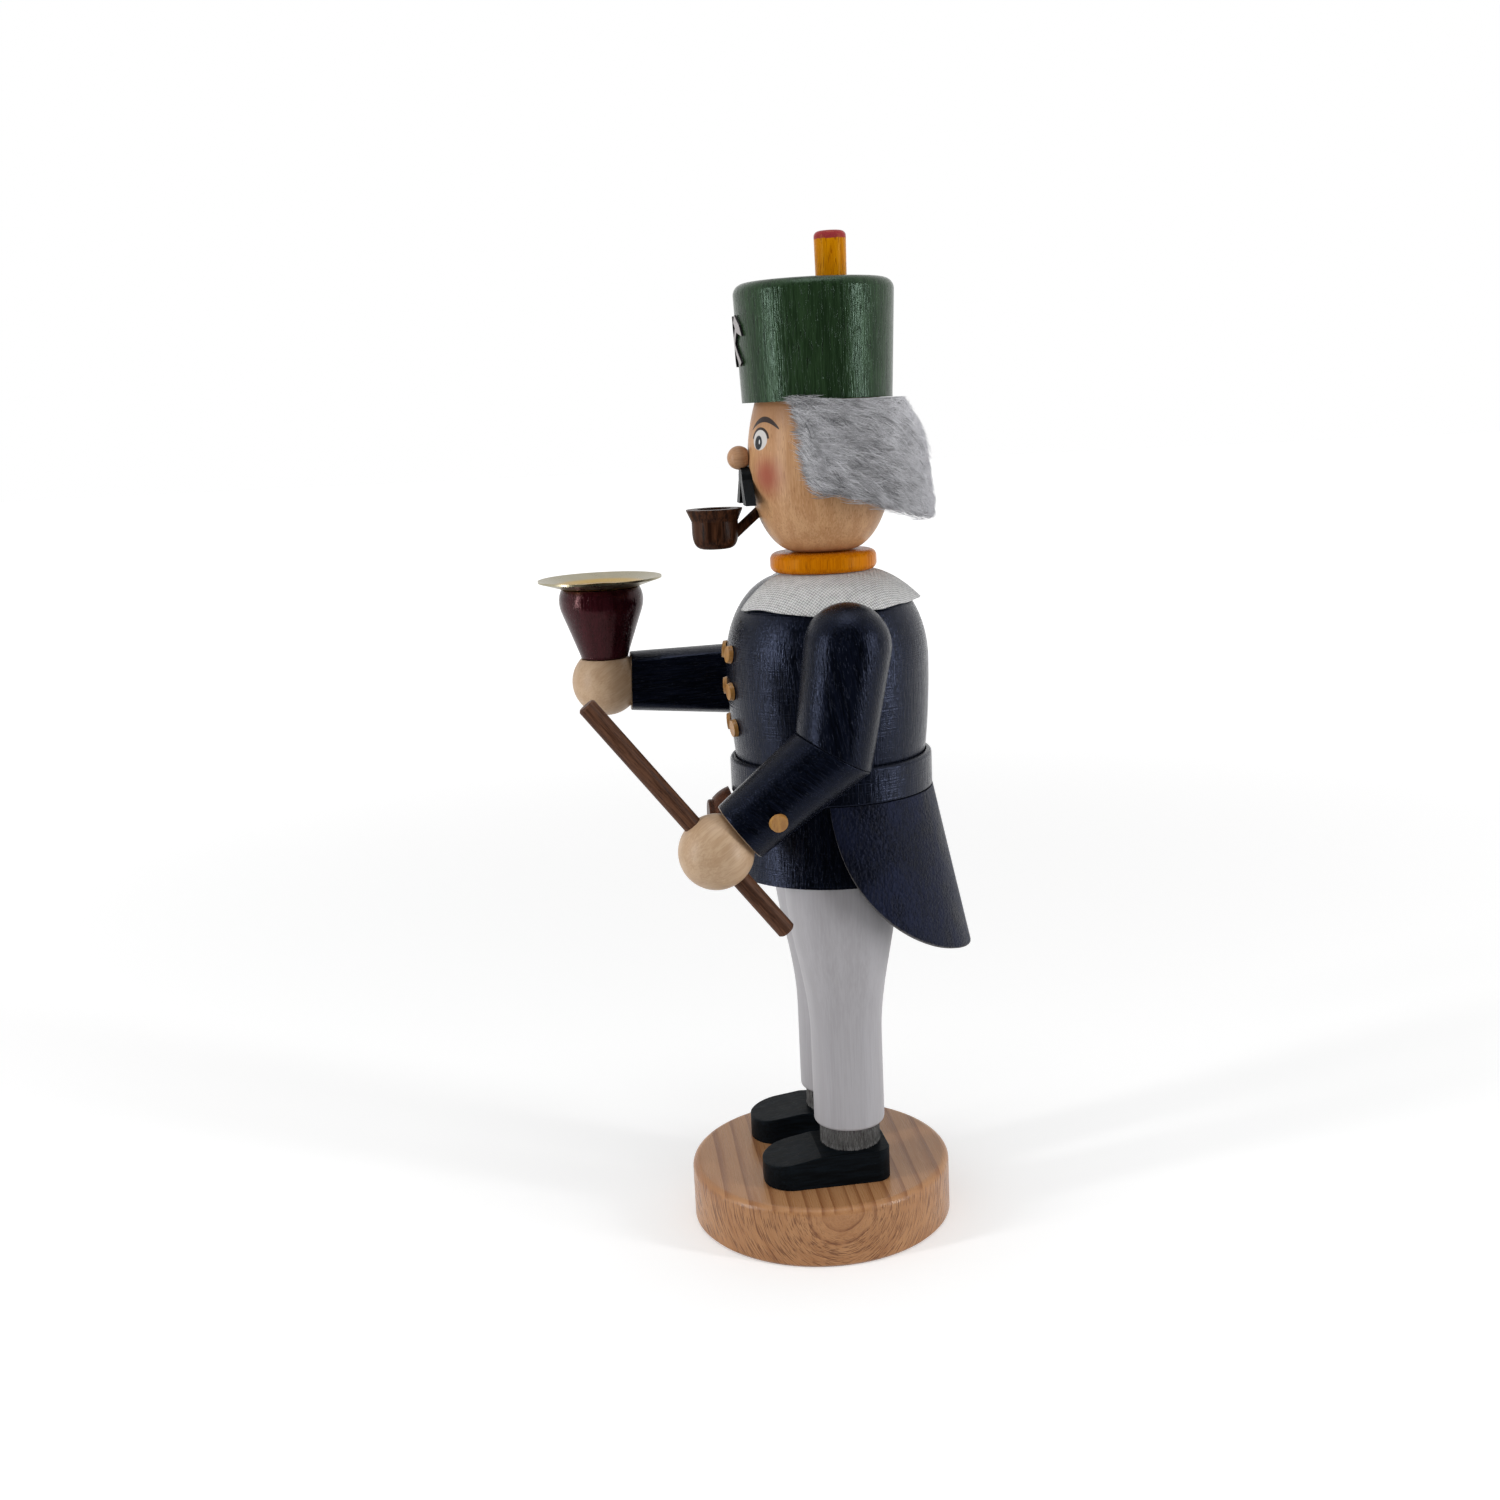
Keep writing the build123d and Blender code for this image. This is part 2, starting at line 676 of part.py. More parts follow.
cuff_planes = []
for side, arm in arms.items():
    sign = arm["sign"]
    inner_flat = Plane((sign * arm_flat_x, 0, 0), z_dir=(sign, 0, 0))
    mitre = across(arm["elbow"], arm["mitre"])

    # Upper arm: a round rod that narrows from a domed shoulder to the mitred elbow, flat on the body side
    with BuildPart() as upper_arm:
        with BuildSketch(lengthwise(arm["shoulder"], arm["down"])):
            with BuildLine():
                reach = upper_arm_length + upper_arm_radius
                RadiusArc((0, -shoulder_radius), (shoulder_radius, 0), -shoulder_radius)
                Polyline(
                    (shoulder_radius, 0),
                    (upper_arm_radius, upper_arm_length),
                    (upper_arm_radius, reach),
                    (0, reach),
                    (0, -shoulder_radius),
                )
            make_face()
        revolve(axis=Axis(arm["shoulder"], arm["down"]))
        split(bisect_by=mitre, keep=Keep.BOTTOM)
        split(bisect_by=inner_flat, keep=Keep.TOP)
        start = (sign * arm_flat_x, arm["shoulder"].Y, arm["shoulder"].Z)
        with BuildSketch(Plane(start, x_dir=(0, 1, 0), z_dir=(sign, 0, 0))):
            Circle(shoulder_dowel_radius + glue_gap)
        extrude(amount=shoulder_dowel_in_arm, mode=Mode.SUBTRACT)
        with BuildSketch(mitre):
            Circle(elbow_dowel_radius + glue_gap)
        extrude(amount=-elbow_dowel_reach, mode=Mode.SUBTRACT)
    write(upper_arm, f"{side}_upper_arm")

    # Forearm: tapers to the cuff and ends in a peg for the hand
    with BuildPart() as forearm:
        with BuildSketch(lengthwise(arm["elbow"], arm["fore"])):
            with BuildLine():
                Polyline(
                    (0, -upper_arm_radius),
                    (upper_arm_radius, -upper_arm_radius),
                    (upper_arm_radius, 0),
                    (cuff_radius, forearm_length),
                    (wrist_peg_radius, forearm_length),
                    (wrist_peg_radius, forearm_length + wrist_peg_length - rest_gap),
                    (0, forearm_length + wrist_peg_length - rest_gap),
                    close=True,
                )
            make_face()
        revolve(axis=Axis(arm["elbow"], arm["fore"]))
        split(bisect_by=mitre, keep=Keep.TOP)
        split(bisect_by=inner_flat, keep=Keep.TOP)
        with BuildSketch(mitre):
            Circle(elbow_dowel_radius + glue_gap)
        extrude(amount=elbow_dowel_reach, mode=Mode.SUBTRACT)
        start = arm["cuff"] - arm["fore"] * cuff_button_behind
        turn = radians(cuff_button_turn)
        direction = Vector(sign * cos(turn), 0, 0) - arm["grip"] * sin(turn)
        place = button_plane(forearm.part, start, direction)
        cuff_planes.append(place)
        with BuildSketch(place):
            Circle(button_shank_radius + glue_gap)
        extrude(amount=-button_shank_length, mode=Mode.SUBTRACT)
    write(forearm, f"{side}_forearm")

    # Hand: a ball, flat against the cuff; the left one is bored for the stick, the right one
    # has a flat and a peg hole for the candle cup
    with BuildPart() as hand:
        with Locations(arm["hand"]):
            Sphere(hand_radius)
        split(bisect_by=across(arm["cuff"], arm["fore"]), keep=Keep.TOP)
        with BuildSketch(across(arm["cuff"], arm["fore"])):
            Circle(wrist_peg_radius + glue_gap)
        extrude(amount=wrist_peg_length, mode=Mode.SUBTRACT)
        if side == "left":
            with BuildSketch(across(arm["hand"], arm["grip"])):
                Circle(stick_radius + glue_gap)
            extrude(amount=hand_radius, both=True, mode=Mode.SUBTRACT)
        else:
            cup_plane = across(arm["hand"] + Vector(0, 0, cup_seat), Vector(0, 0, 1))
            split(bisect_by=cup_plane, keep=Keep.BOTTOM)
            with BuildSketch(cup_plane):
                Circle(cup_peg_radius + glue_gap)
            extrude(amount=-cup_peg_length, mode=Mode.SUBTRACT)
    write(hand, f"{side}_hand")

with BuildPart() as cuff_buttons:
    for place in cuff_planes:
        with BuildSketch(place):
            Circle(button_radius)
        extrude(amount=button_depth, taper=button_taper)
        with BuildSketch(place):
            Circle(button_shank_radius)
        extrude(amount=rest_gap - button_shank_length)
write(cuff_buttons, "cuff_buttons")

# Stick: a straight rod through the left hand, square to the forearm
grip = arms["left"]["grip"]
with BuildPart() as stick:
    with BuildSketch(across(arms["left"]["hand"] - grip * stick_below, grip)):
        Circle(stick_radius)
    extrude(amount=stick_below + stick_above)
    chamfer(stick.edges().filter_by(GeomType.CIRCLE), stick_edge)
write(stick, "stick")

# Candle cup: turned, on the right hand, bored for the brass socket
cup_axis = Axis(cup_plane.origin, cup_plane.z_dir)
cup_section = lengthwise(cup_plane.origin, cup_plane.z_dir)
with BuildPart() as candle_cup:
    with BuildSketch(cup_section):
        with BuildLine():
            Polyline(
                (0, cup_height - socket_depth - free_gap),
                (0, rest_gap - cup_peg_length),
                (cup_peg_radius, rest_gap - cup_peg_length),
                (cup_peg_radius, 0),
                (cup_foot_radius - cup_foot_round, 0),
            )
            cup_foot = TangentArc(
                (cup_foot_radius - cup_foot_round, 0), (cup_foot_radius, cup_foot_round), tangent=(1, 0)
            )
            Line(cup_foot @ 1, (cup_side_radius, cup_side))
            Spline(
                (cup_side_radius, cup_side),
                (cup_radius, cup_belly),
                (cup_mouth_radius, cup_height),
                tangents=((cup_side_radius - cup_foot_radius, cup_side - cup_foot_round), (-cup_mouth_lean, 1)),
            )
            Polyline(
                (cup_mouth_radius, cup_height),
                (socket_radius + free_gap, cup_height),
                (socket_radius + free_gap, cup_height - socket_depth - free_gap),
                (0, cup_height - socket_depth - free_gap),
            )
        make_face()
    revolve(axis=cup_axis)
write(candle_cup, "candle_cup")

# Candle socket: pressed brass, a cup for the candle with a drip plate that lies on the wood
with BuildPart() as candle_socket:
    with BuildSketch(cup_section):
        with BuildLine():
            Polyline(
                (0, cup_height - socket_depth),
                (socket_radius, cup_height - socket_depth),
                (socket_radius, cup_height),
                (drip_flat_radius, cup_height),
                (drip_radius, cup_height + drip_rise),
                (drip_radius, cup_height + drip_rise + brass),
                (drip_flat_radius, cup_height + brass),
                (candle_radius, cup_height + brass),
                (candle_radius, cup_height - socket_depth + brass),
                (0, cup_height - socket_depth + brass),
                close=True,
            )
        make_face()
    revolve(axis=cup_axis)
write(candle_socket, "candle_socket")

# Collar: a cloth cape over the shoulders, open at the throat
shoulder_rise = torso_height - bulge_height
inner_x = torso_radius - torso_flat + collar_lift
hem = radians(collar_slope)
hem_in = (torso_flat + inner_x * cos(hem), bulge_z + shoulder_rise * sin(hem))
hem_out = (
    torso_flat + (inner_x + cloth) * cos(hem),
    bulge_z + (shoulder_rise + cloth) * sin(hem),
)
with BuildPart() as collar:
    with BuildSketch(upright(-90 + collar_left)):
        with BuildLine():
            Polyline(
                (torso_flat, torso_top_z),
                (neck_tenon_radius + rest_gap, torso_top_z),
                (neck_tenon_radius + rest_gap, ring_z),
                (torso_flat, ring_z),
            )
            EllipticalCenterArc(
                (torso_flat, bulge_z),
                inner_x,
                shoulder_rise,
                start_angle=collar_slope,
                arc_size=90 - collar_slope,
            )
            EllipticalCenterArc(
                (torso_flat, bulge_z),
                inner_x + cloth,
                shoulder_rise + cloth,
                start_angle=collar_slope,
                arc_size=90 - collar_slope,
            )
            Line(hem_in, hem_out)
        make_face()
    revolve(axis=figure_axis, revolution_arc=360 - collar_left - collar_right)
write(collar, "collar_cloth")

# Neck ring: a round-edged ring between the collar and the head
with BuildPart() as neck_ring:
    with BuildSketch(Plane.XY.offset(ring_z)):
        with Locations((0, figure_y)):
            Circle(ring_radius)
            Circle(neck_tenon_radius + glue_gap, mode=Mode.SUBTRACT)
    extrude(amount=ring_height)
    rims = neck_ring.edges().filter_by(GeomType.CIRCLE).group_by(SortBy.RADIUS)[-1]
    fillet(rims, min(ring_rounding, ring_share * ring_height))
write(neck_ring, "neck_ring")


def head_section(lift):
    """Half section of the head, swollen sideways by the lift."""
    with BuildSketch(front) as section:
        with BuildLine():
            Line((0, chin_z), (chin_radius, chin_z))
            EllipticalCenterArc(
                (chin_radius, cheek_z),
                head_radius + lift - chin_radius,
                cheek_height,
                start_angle=-90,
                arc_size=90,
            )
            TangentArc((head_radius + lift, cheek_z), (crown_radius + lift, hat_z), tangent=(0, 1))
            Polyline((crown_radius + lift, hat_z), (0, hat_z), (0, chin_z))
        make_face()
    return section.sketch


# Head: turned, with a bored tenon below, a mouth hole that meets the bore and a tenon for the hat
with BuildPart() as head:
    revolve(head_section(0), axis=figure_axis)
    stem_hole = surface_point(head.part, (0, figure_y, mouth_z - stem_drop), (0, -1, 0))[0]
    stem_out = Vector(0, -cos(radians(stem_fall)), -sin(radians(stem_fall)))
    with BuildSketch(Plane.XY.offset(chin_z)):
        with Locations((0, figure_y)):
            Circle(neck_tenon_radius)
    extrude(amount=-neck_tenon_length)
    with BuildSketch(Plane.XY.offset(hat_z)):
        with Locations((0, figure_y)):
            Circle(crown_tenon_radius)
    extrude(amount=crown_tenon_length - rest_gap)
    with BuildSketch(Plane.XY.offset(chin_z - neck_tenon_length)):
        with Locations((0, figure_y)):
            Circle(flue_radius)
    extrude(amount=neck_tenon_length + mouth_height + mouth_radius, mode=Mode.SUBTRACT)
    with BuildSketch(across((0, figure_y, mouth_z), (0, -1, 0))):
        Circle(mouth_radius)
    extrude(amount=head_radius, mode=Mode.SUBTRACT)
    with BuildSketch(across(stem_hole - stem_out * stem_in_face, stem_out)):
        Circle(stem_radius + glue_gap)
    extrude(amount=2 * stem_in_face, mode=Mode.SUBTRACT)
    with BuildSketch(across((0, face_y - nose_out, chin_z + nose_height), (0, 1, 0))):
        Circle(nose_peg_radius + glue_gap)
    extrude(amount=nose_out + nose_peg_length, mode=Mode.SUBTRACT)
write(head, "head")

# Nose: a small ball, flat at the back, on a peg
nose_middle = (0, face_y - nose_out, chin_z + nose_height)
with BuildPart() as nose:
    with Locations(nose_middle):
        Sphere(nose_radius)
    split(bisect_by=Plane((0, face_y - rest_gap, 0), z_dir=(0, -1, 0)), keep=Keep.TOP)
    with BuildSketch(across(nose_middle, (0, 1, 0))):
        Circle(nose_peg_radius)
    extrude(amount=nose_out + nose_peg_length - rest_gap)
write(nose, "nose")

# Moustache: a flat board under the nose, notched from below into two spread ends, cut to the face's curve
moustache_low_z = chin_z + moustache_low
moustache_top_z = moustache_low_z + moustache_height
bridge_z = moustache_top_z - moustache_bridge
notch_z = moustache_low_z + moustache_notch
half_gap = moustache_gap / 2
moustache_back = Plane((0, face_y + moustache_inside, 0), x_dir=(1, 0, 0), z_dir=(0, -1, 0))
with BuildPart() as moustache:
    with BuildSketch(moustache_back):
        with BuildLine():
            ThreePointArc(
                (moustache_notch_round, notch_z - moustache_notch_round),
                (0, notch_z),
                (-moustache_notch_round, notch_z - moustache_notch_round),
            )
            Polyline(
                (-moustache_notch_round, notch_z - moustache_notch_round),
                (-half_gap, moustache_low_z),
                (-moustache_foot / 2, moustache_low_z),
                (-moustache_width / 2, bridge_z),
            )
            ThreePointArc(
                (-moustache_width / 2, bridge_z), (0, moustache_top_z), (moustache_width / 2, bridge_z)
            )
            Polyline(
                (moustache_width / 2, bridge_z),
                (moustache_foot / 2, moustache_low_z),
                (half_gap, moustache_low_z),
                (moustache_notch_round, notch_z - moustache_notch_round),
            )
        make_face()
    extrude(amount=moustache_inside + moustache_depth)
    revolve(head_section(rest_gap), axis=figure_axis, mode=Mode.SUBTRACT)
    with Locations(nose_middle):
        Sphere(nose_radius + rest_gap, mode=Mode.SUBTRACT)
write(moustache, "moustache")

# Hair: a thick ring of fur round the back of the head, open at the face, lower at the back
hair_y = figure_y + hair_back
hair_top_z = hat_z - rest_gap
hair_low_z = chin_z + hair_low_back
hair_reach = 2 * hair_radius
hair_turn = radians(hair_front)
with BuildPart() as hair:
    with BuildSketch(Plane((0, hair_y, 0), x_dir=(1, 0, 0), z_dir=(0, -1, 0))):
        with BuildLine():
            Polyline((0, hair_top_z), (0, hair_low_z), (hair_radius, hair_low_z))
            Spline(
                (hair_radius, hair_low_z),
                (hair_top_radius, hair_top_z),
                tangents=((hair_low_lean, 1), (-hair_top_lean, 1)),
            )
            Line((hair_top_radius, hair_top_z), (0, hair_top_z))
        make_face()
    revolve(axis=Axis((0, hair_y, 0), (0, 0, 1)))
    revolve(head_section(hair_lift), axis=figure_axis, mode=Mode.SUBTRACT)
    with BuildSketch(Plane.XY.offset(hair_low_z)):
        with BuildLine():
            edge_x = hair_reach * sin(hair_turn)
            edge_y = figure_y - hair_reach * cos(hair_turn)
            Polyline(
                (0, figure_y),
                (edge_x, edge_y),
                (edge_x, figure_y - hair_reach),
                (-edge_x, figure_y - hair_reach),
                (-edge_x, edge_y),
                close=True,
            )
        make_face()
    extrude(amount=head_height, mode=Mode.SUBTRACT)
    with BuildSketch(Plane((0, figure_y, 0), x_dir=(0, 1, 0), z_dir=(1, 0, 0))):
        with BuildLine():
            Polyline(
                (-head_radius, hair_low_z),
                (-head_radius, chin_z + hair_low_front),
                (0, chin_z + hair_low_front),
                (hair_radius + hair_back, hair_low_z),
                close=True,
            )
        make_face()
    extrude(amount=hair_reach, both=True, mode=Mode.SUBTRACT)
write(hair, "hair")

# Pipe: a bored bowl with a flared rim, hanging on a slanted stem from under the mouth
bowl_y = face_y - bowl_forward
bowl_top_z = mouth_z - bowl_lip_drop
bowl_low_z = bowl_top_z - bowl_height
stem_run = (stem_hole.Y - bowl_y - bowl_radius) / cos(radians(stem_fall))
stem_foot = stem_hole + stem_out * (stem_run + stem_in_bowl)
with BuildPart() as pipe_bowl:
    with BuildSketch(Plane((0, bowl_y, 0), x_dir=(1, 0, 0), z_dir=(0, -1, 0))):
        with BuildLine():
            neck_z = bowl_top_z - bowl_rim_height
            Line((0, bowl_low_z), (bowl_foot_radius, bowl_low_z))
            Spline(
                (bowl_foot_radius, bowl_low_z),
                (bowl_radius, bowl_low_z + bowl_belly),
                tangents=((1, 0), (0, 1)),
            )
            Polyline(
                (bowl_radius, bowl_low_z + bowl_belly),
                (bowl_radius, neck_z - bowl_flare_height),
                (bowl_rim_radius, neck_z),
                (bowl_rim_radius, bowl_top_z),
                (bowl_bore, bowl_top_z),
                (bowl_bore, bowl_top_z - bowl_bore_depth),
                (0, bowl_top_z - bowl_bore_depth),
                (0, bowl_low_z),
            )
        make_face()
    revolve(axis=Axis((0, bowl_y, 0), (0, 0, 1)))
    with BuildSketch(across(stem_foot, stem_out * -1)):
        Circle(stem_radius + glue_gap)
    extrude(amount=stem_run + stem_in_bowl, mode=Mode.SUBTRACT)
write(pipe_bowl, "pipe_bowl")

with BuildPart() as pipe_stem:
    with BuildSketch(across(stem_foot, stem_out * -1)):
        Circle(stem_radius)
    extrude(amount=stem_run + stem_in_bowl + stem_in_face - rest_gap)
write(pipe_stem, "pipe_stem")


def hat_section(lift):
    """Half section of the hat, swollen sideways by the lift."""
    with BuildSketch(front) as section:
        with BuildLine():
            Polyline(
                (0, hat_z),
                (hat_low_radius + lift, hat_z),
                (hat_top_radius + lift, hat_top_z),
                (0, hat_top_z),
                close=True,
            )
        make_face()
    return section.sketch


# Hat: a turned cylinder that widens upwards, with holes for the head's tenon and the plume
with BuildPart() as hat:
    revolve(hat_section(0), axis=figure_axis)
    fillet(hat.faces().sort_by(Axis.Z)[-1].edges(), hat_rounding)
    with BuildSketch(Plane.XY.offset(hat_z)):
        with Locations((0, figure_y)):
            Circle(crown_tenon_radius + glue_gap)
    extrude(amount=crown_tenon_length, mode=Mode.SUBTRACT)
    with BuildSketch(Plane.XY.offset(hat_top_z)):
        with Locations((0, figure_y + plume_back)):
            Circle(plume_peg_radius + glue_gap)
    extrude(amount=-plume_peg_length, mode=Mode.SUBTRACT)
write(hat, "hat")

plume_y = figure_y + plume_back
with BuildPart() as plume:
    with BuildSketch(Plane((0, plume_y, 0), x_dir=(1, 0, 0), z_dir=(0, -1, 0))):
        with BuildLine():
            Polyline(
                (0, hat_top_z + rest_gap - plume_peg_length),
                (plume_peg_radius, hat_top_z + rest_gap - plume_peg_length),
                (plume_peg_radius, hat_top_z),
                (plume_foot_radius, hat_top_z),
                (plume_top_radius, hat_top_z + plume_height),
                (0, hat_top_z + plume_height),
                close=True,
            )
        make_face()
    revolve(axis=Axis((0, plume_y, 0), (0, 0, 1)))
    fillet(plume.faces().sort_by(Axis.Z)[-1].edges(), plume_rounding)
write(plume, "plume")

# Emblem: a miner's crossed mallet and pick, stamped and bent to the hat's curve
emblem_plane = Plane((0, figure_y, hat_z + emblem_height), x_dir=(1, 0, 0), z_dir=(0, -1, 0))
head_at = emblem_length / 2 - emblem_head_width / 2
half_head = emblem_head_length / 2
half_width = emblem_head_width / 2
with BuildPart() as emblem:
    with BuildSketch(emblem_plane):
        with Locations(Location((0, 0, 0), (0, 0, emblem_lean))):
            Rectangle(emblem_handle, emblem_length)
        with Locations(Location((0, 0, 0), (0, 0, -emblem_lean))):
            Rectangle(emblem_handle, emblem_length)
        with Locations(Location((0, 0, 0), (0, 0, emblem_lean)) * Location((0, head_at, 0))):
            Rectangle(emblem_head_length, emblem_head_width)
        with Locations(Location((0, 0, 0), (0, 0, -emblem_lean)) * Location((0, head_at, 0))):
            Polygon(
                (-half_head, -half_width),
                (half_width, -half_width),
                (half_head + half_width, 0),
                (half_width, half_width),
                (-half_head, half_width),
                align=None,
            )
    extrude(amount=hat_top_radius + emblem_sheet)
    revolve(hat_section(emblem_sheet), axis=figure_axis, mode=Mode.INTERSECT)
    revolve(hat_section(rest_gap), axis=figure_axis, mode=Mode.SUBTRACT)
write(emblem, "hat_emblem")
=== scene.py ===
import math

import bmesh
import bpy
import numpy as np
from mathutils import Matrix, Vector


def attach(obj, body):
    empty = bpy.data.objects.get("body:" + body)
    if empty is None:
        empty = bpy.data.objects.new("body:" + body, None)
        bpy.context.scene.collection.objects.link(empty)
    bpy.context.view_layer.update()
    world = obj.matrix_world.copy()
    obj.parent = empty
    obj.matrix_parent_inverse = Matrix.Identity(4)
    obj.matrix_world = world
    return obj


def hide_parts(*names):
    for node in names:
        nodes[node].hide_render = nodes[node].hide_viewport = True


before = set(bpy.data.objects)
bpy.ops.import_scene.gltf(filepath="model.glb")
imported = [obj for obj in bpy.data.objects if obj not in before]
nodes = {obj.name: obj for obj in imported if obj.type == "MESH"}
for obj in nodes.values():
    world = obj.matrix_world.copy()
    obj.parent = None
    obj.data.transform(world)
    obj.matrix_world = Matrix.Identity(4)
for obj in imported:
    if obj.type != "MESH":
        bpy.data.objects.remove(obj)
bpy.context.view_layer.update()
mm = 0.001
figureY = 7.6  # the figure's own axis, in millimetres as all lengths below
handed = {"left": 1, "right": -1}
rng = np.random.default_rng(5)
print("frame loaded:", len(nodes), "nodes")


# Mesh helpers

def gridQuads(rows, columns, roundTrip):
    # quads of a grid whose vertices run row by row; a round trip joins the last column to the first
    wide = columns if roundTrip else columns - 1
    row, column = np.meshgrid(np.arange(rows - 1), np.arange(wide), indexing="ij")
    here = row * columns + column
    beside = row * columns + (column + 1) % columns
    return np.stack([here, beside, beside + columns, here + columns], -1).reshape(-1, 4)


def putMesh(name, points, quads, sharp=40, flat=None, marks=None):
    # millimetres to metres, doubles merged, faces outwards, smooth below the sharp angle;
    # flat is a UV for each vertex, marks are named numbers for each vertex
    mesh = bpy.data.meshes.new(name)
    mesh.from_pydata((np.asarray(points).reshape(-1, 3) * mm).tolist(), [], quads.tolist())
    if flat is not None:
        corner = np.empty(len(mesh.loops), int)
        mesh.loops.foreach_get("vertex_index", corner)
        layer = mesh.uv_layers.new(name="flat")
        layer.data.foreach_set("uv", flat.reshape(-1, 2)[corner].ravel())
    for label, values in (marks or {}).items():
        mark = mesh.attributes.new(label, "FLOAT", "POINT")
        mark.data.foreach_set("value", np.asarray(values, np.float32).ravel())
    work = bmesh.new()
    work.from_mesh(mesh)
    bmesh.ops.remove_doubles(work, verts=work.verts, dist=1e-6)
    bmesh.ops.recalc_face_normals(work, faces=work.faces)
    work.to_mesh(mesh)
    work.free()
    mesh.shade_smooth()
    mesh.set_sharp_from_angle(angle=math.radians(sharp))
    piece = bpy.data.objects.new(name, mesh)
    bpy.context.scene.collection.objects.link(piece)
    return piece


def settle(piece, material, body, slotName, *nodeNames):
    # finish and body of a new piece, and the nodes it stands for; the slot name is not used
    piece.data.materials.clear()
    piece.data.materials.append(material)
    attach(piece, body)
    if nodeNames:
        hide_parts(*nodeNames)


def paint(material, *nodeNames):
    # the solids that keep their shape take a new finish
    for name in nodeNames:
        nodes[name].material_slots[0].material = material


def smoothMax(a, b, soft):
    # the larger of two values, rounded over where they meet
    share = np.clip(0.5 + 0.5 * (a - b) / soft, 0, 1)
    return b + (a - b) * share + soft * share * (1 - share)


def thicken(piece, thickness):
    wall = piece.modifiers.new("wall", "SOLIDIFY")
    wall.thickness = thickness * mm
    wall.offset = 0.0


def smoothStep(low, high, value):
    share = np.clip((value - low) / (high - low), 0, 1)
    return share * share * (3 - 2 * share)


# Node helpers

noiseSpan = (0.35, 0.65)  # where most of a noise's values lie
wideSpan = (0.3, 0.7)
timber = {"run": 14, "streakRun": 16, "poreCell": (0.3, 0.3, 3.6), "poreSpan": (0.60, 0.70),
          "toneSpan": (0.36, 0.64), "glossSpread": 0.08, "poreDepth": 0.5, "latheStep": 0.45}


def put(tree, kind, inputs=(), **settings):
    # one node: settings are its options, inputs are numbers or the outputs that feed it
    node = tree.nodes.new("ShaderNode" + kind)
    for key, value in settings.items():
        setattr(node, key, value)
    for key, value in dict(inputs).items():
        if isinstance(value, bpy.types.NodeSocket):
            tree.links.new(value, node.inputs[key])
        else:
            node.inputs[key].default_value = value
    return node


def calc(operation, first, second=0.0):
    # the nodes go into the tree of the outputs that feed them
    tree = next(v.id_data for v in (first, second) if isinstance(v, bpy.types.NodeSocket))
    return put(tree, "Math", {0: first, 1: second}, operation=operation).outputs[0]


def times(first, second):
    return calc("MULTIPLY", first, second)


def plus(first, second):
    return calc("ADD", first, second)


def minus(first, second):
    return calc("SUBTRACT", first, second)


def fade(value, low, high, start=0.0, end=1.0):
    # smooth step of a value from low to high
    spots = {0: value, 1: low, 2: high, 3: start, 4: end}
    return put(value.id_data, "MapRange", spots, interpolation_type="SMOOTHSTEP").outputs[0]


def tint(share, first, second):
    # colour between two tones, each a tuple or an output
    spots = {0: share, 6: first, 7: second}
    for key in (6, 7):
        if isinstance(spots[key], tuple):
            spots[key] = (*spots[key], 1.0)
    return put(share.id_data, "Mix", spots, data_type="RGBA").outputs[2]


def newFinish(name, sockets):
    # a principled shader whose constants sit on its own sockets
    material = bpy.data.materials.new(name)
    material.use_nodes = True
    shader = material.node_tree.nodes["Principled BSDF"]
    for key, value in sockets.items():
        shader.inputs[key].default_value = value
    return material, material.node_tree, shader


def feed(shader, key, value):
    value.id_data.links.new(value, shader.inputs[key])


def repaint(shader, tone):
    feed(shader, "Base Color", tone)


def roughen(shader, noise, gloss):
    feed(shader, "Roughness", fade(noise, *wideSpan, *gloss))


def split(place):
    return put(place.id_data, "SeparateXYZ", {0: place}).outputs


def spanOf(first, second):
    # distance from an axis, by the two coordinates across it
    flat = put(first.id_data, "CombineXYZ", {0: first, 1: second}).outputs[0]
    return put(first.id_data, "VectorMath", {0: flat}, operation="LENGTH").outputs[1]


def placeOf(tree, turn=(0, 0, 0), shift=(0, 0, 0)):
    # object coordinates in millimetres, turned so that the grain lies along Z
    where = put(tree, "TexCoord").outputs["Object"]
    spots = {"Vector": where, "Scale": (1000, 1000, 1000), "Rotation": turn, "Location": shift}
    return put(tree, "Mapping", spots).outputs[0]


def speckle(place, cell, detail=2.0):
    # noise whose cells measure so many millimetres along x, y and z
    tree = place.id_data
    inverse = tuple(1 / c for c in cell)
    scaled = put(tree, "VectorMath", {0: place, 1: inverse}, operation="MULTIPLY").outputs[0]
    return put(tree, "TexNoise", {"Vector": scaled, "Scale": 1.0, "Detail": detail}).outputs[0]


def relief(shader, height, depth):
    # bump of so many millimetres
    spots = {"Height": height, "Distance": depth * mm}
    feed(shader, "Normal", put(height.id_data, "Bump", spots).outputs[0])


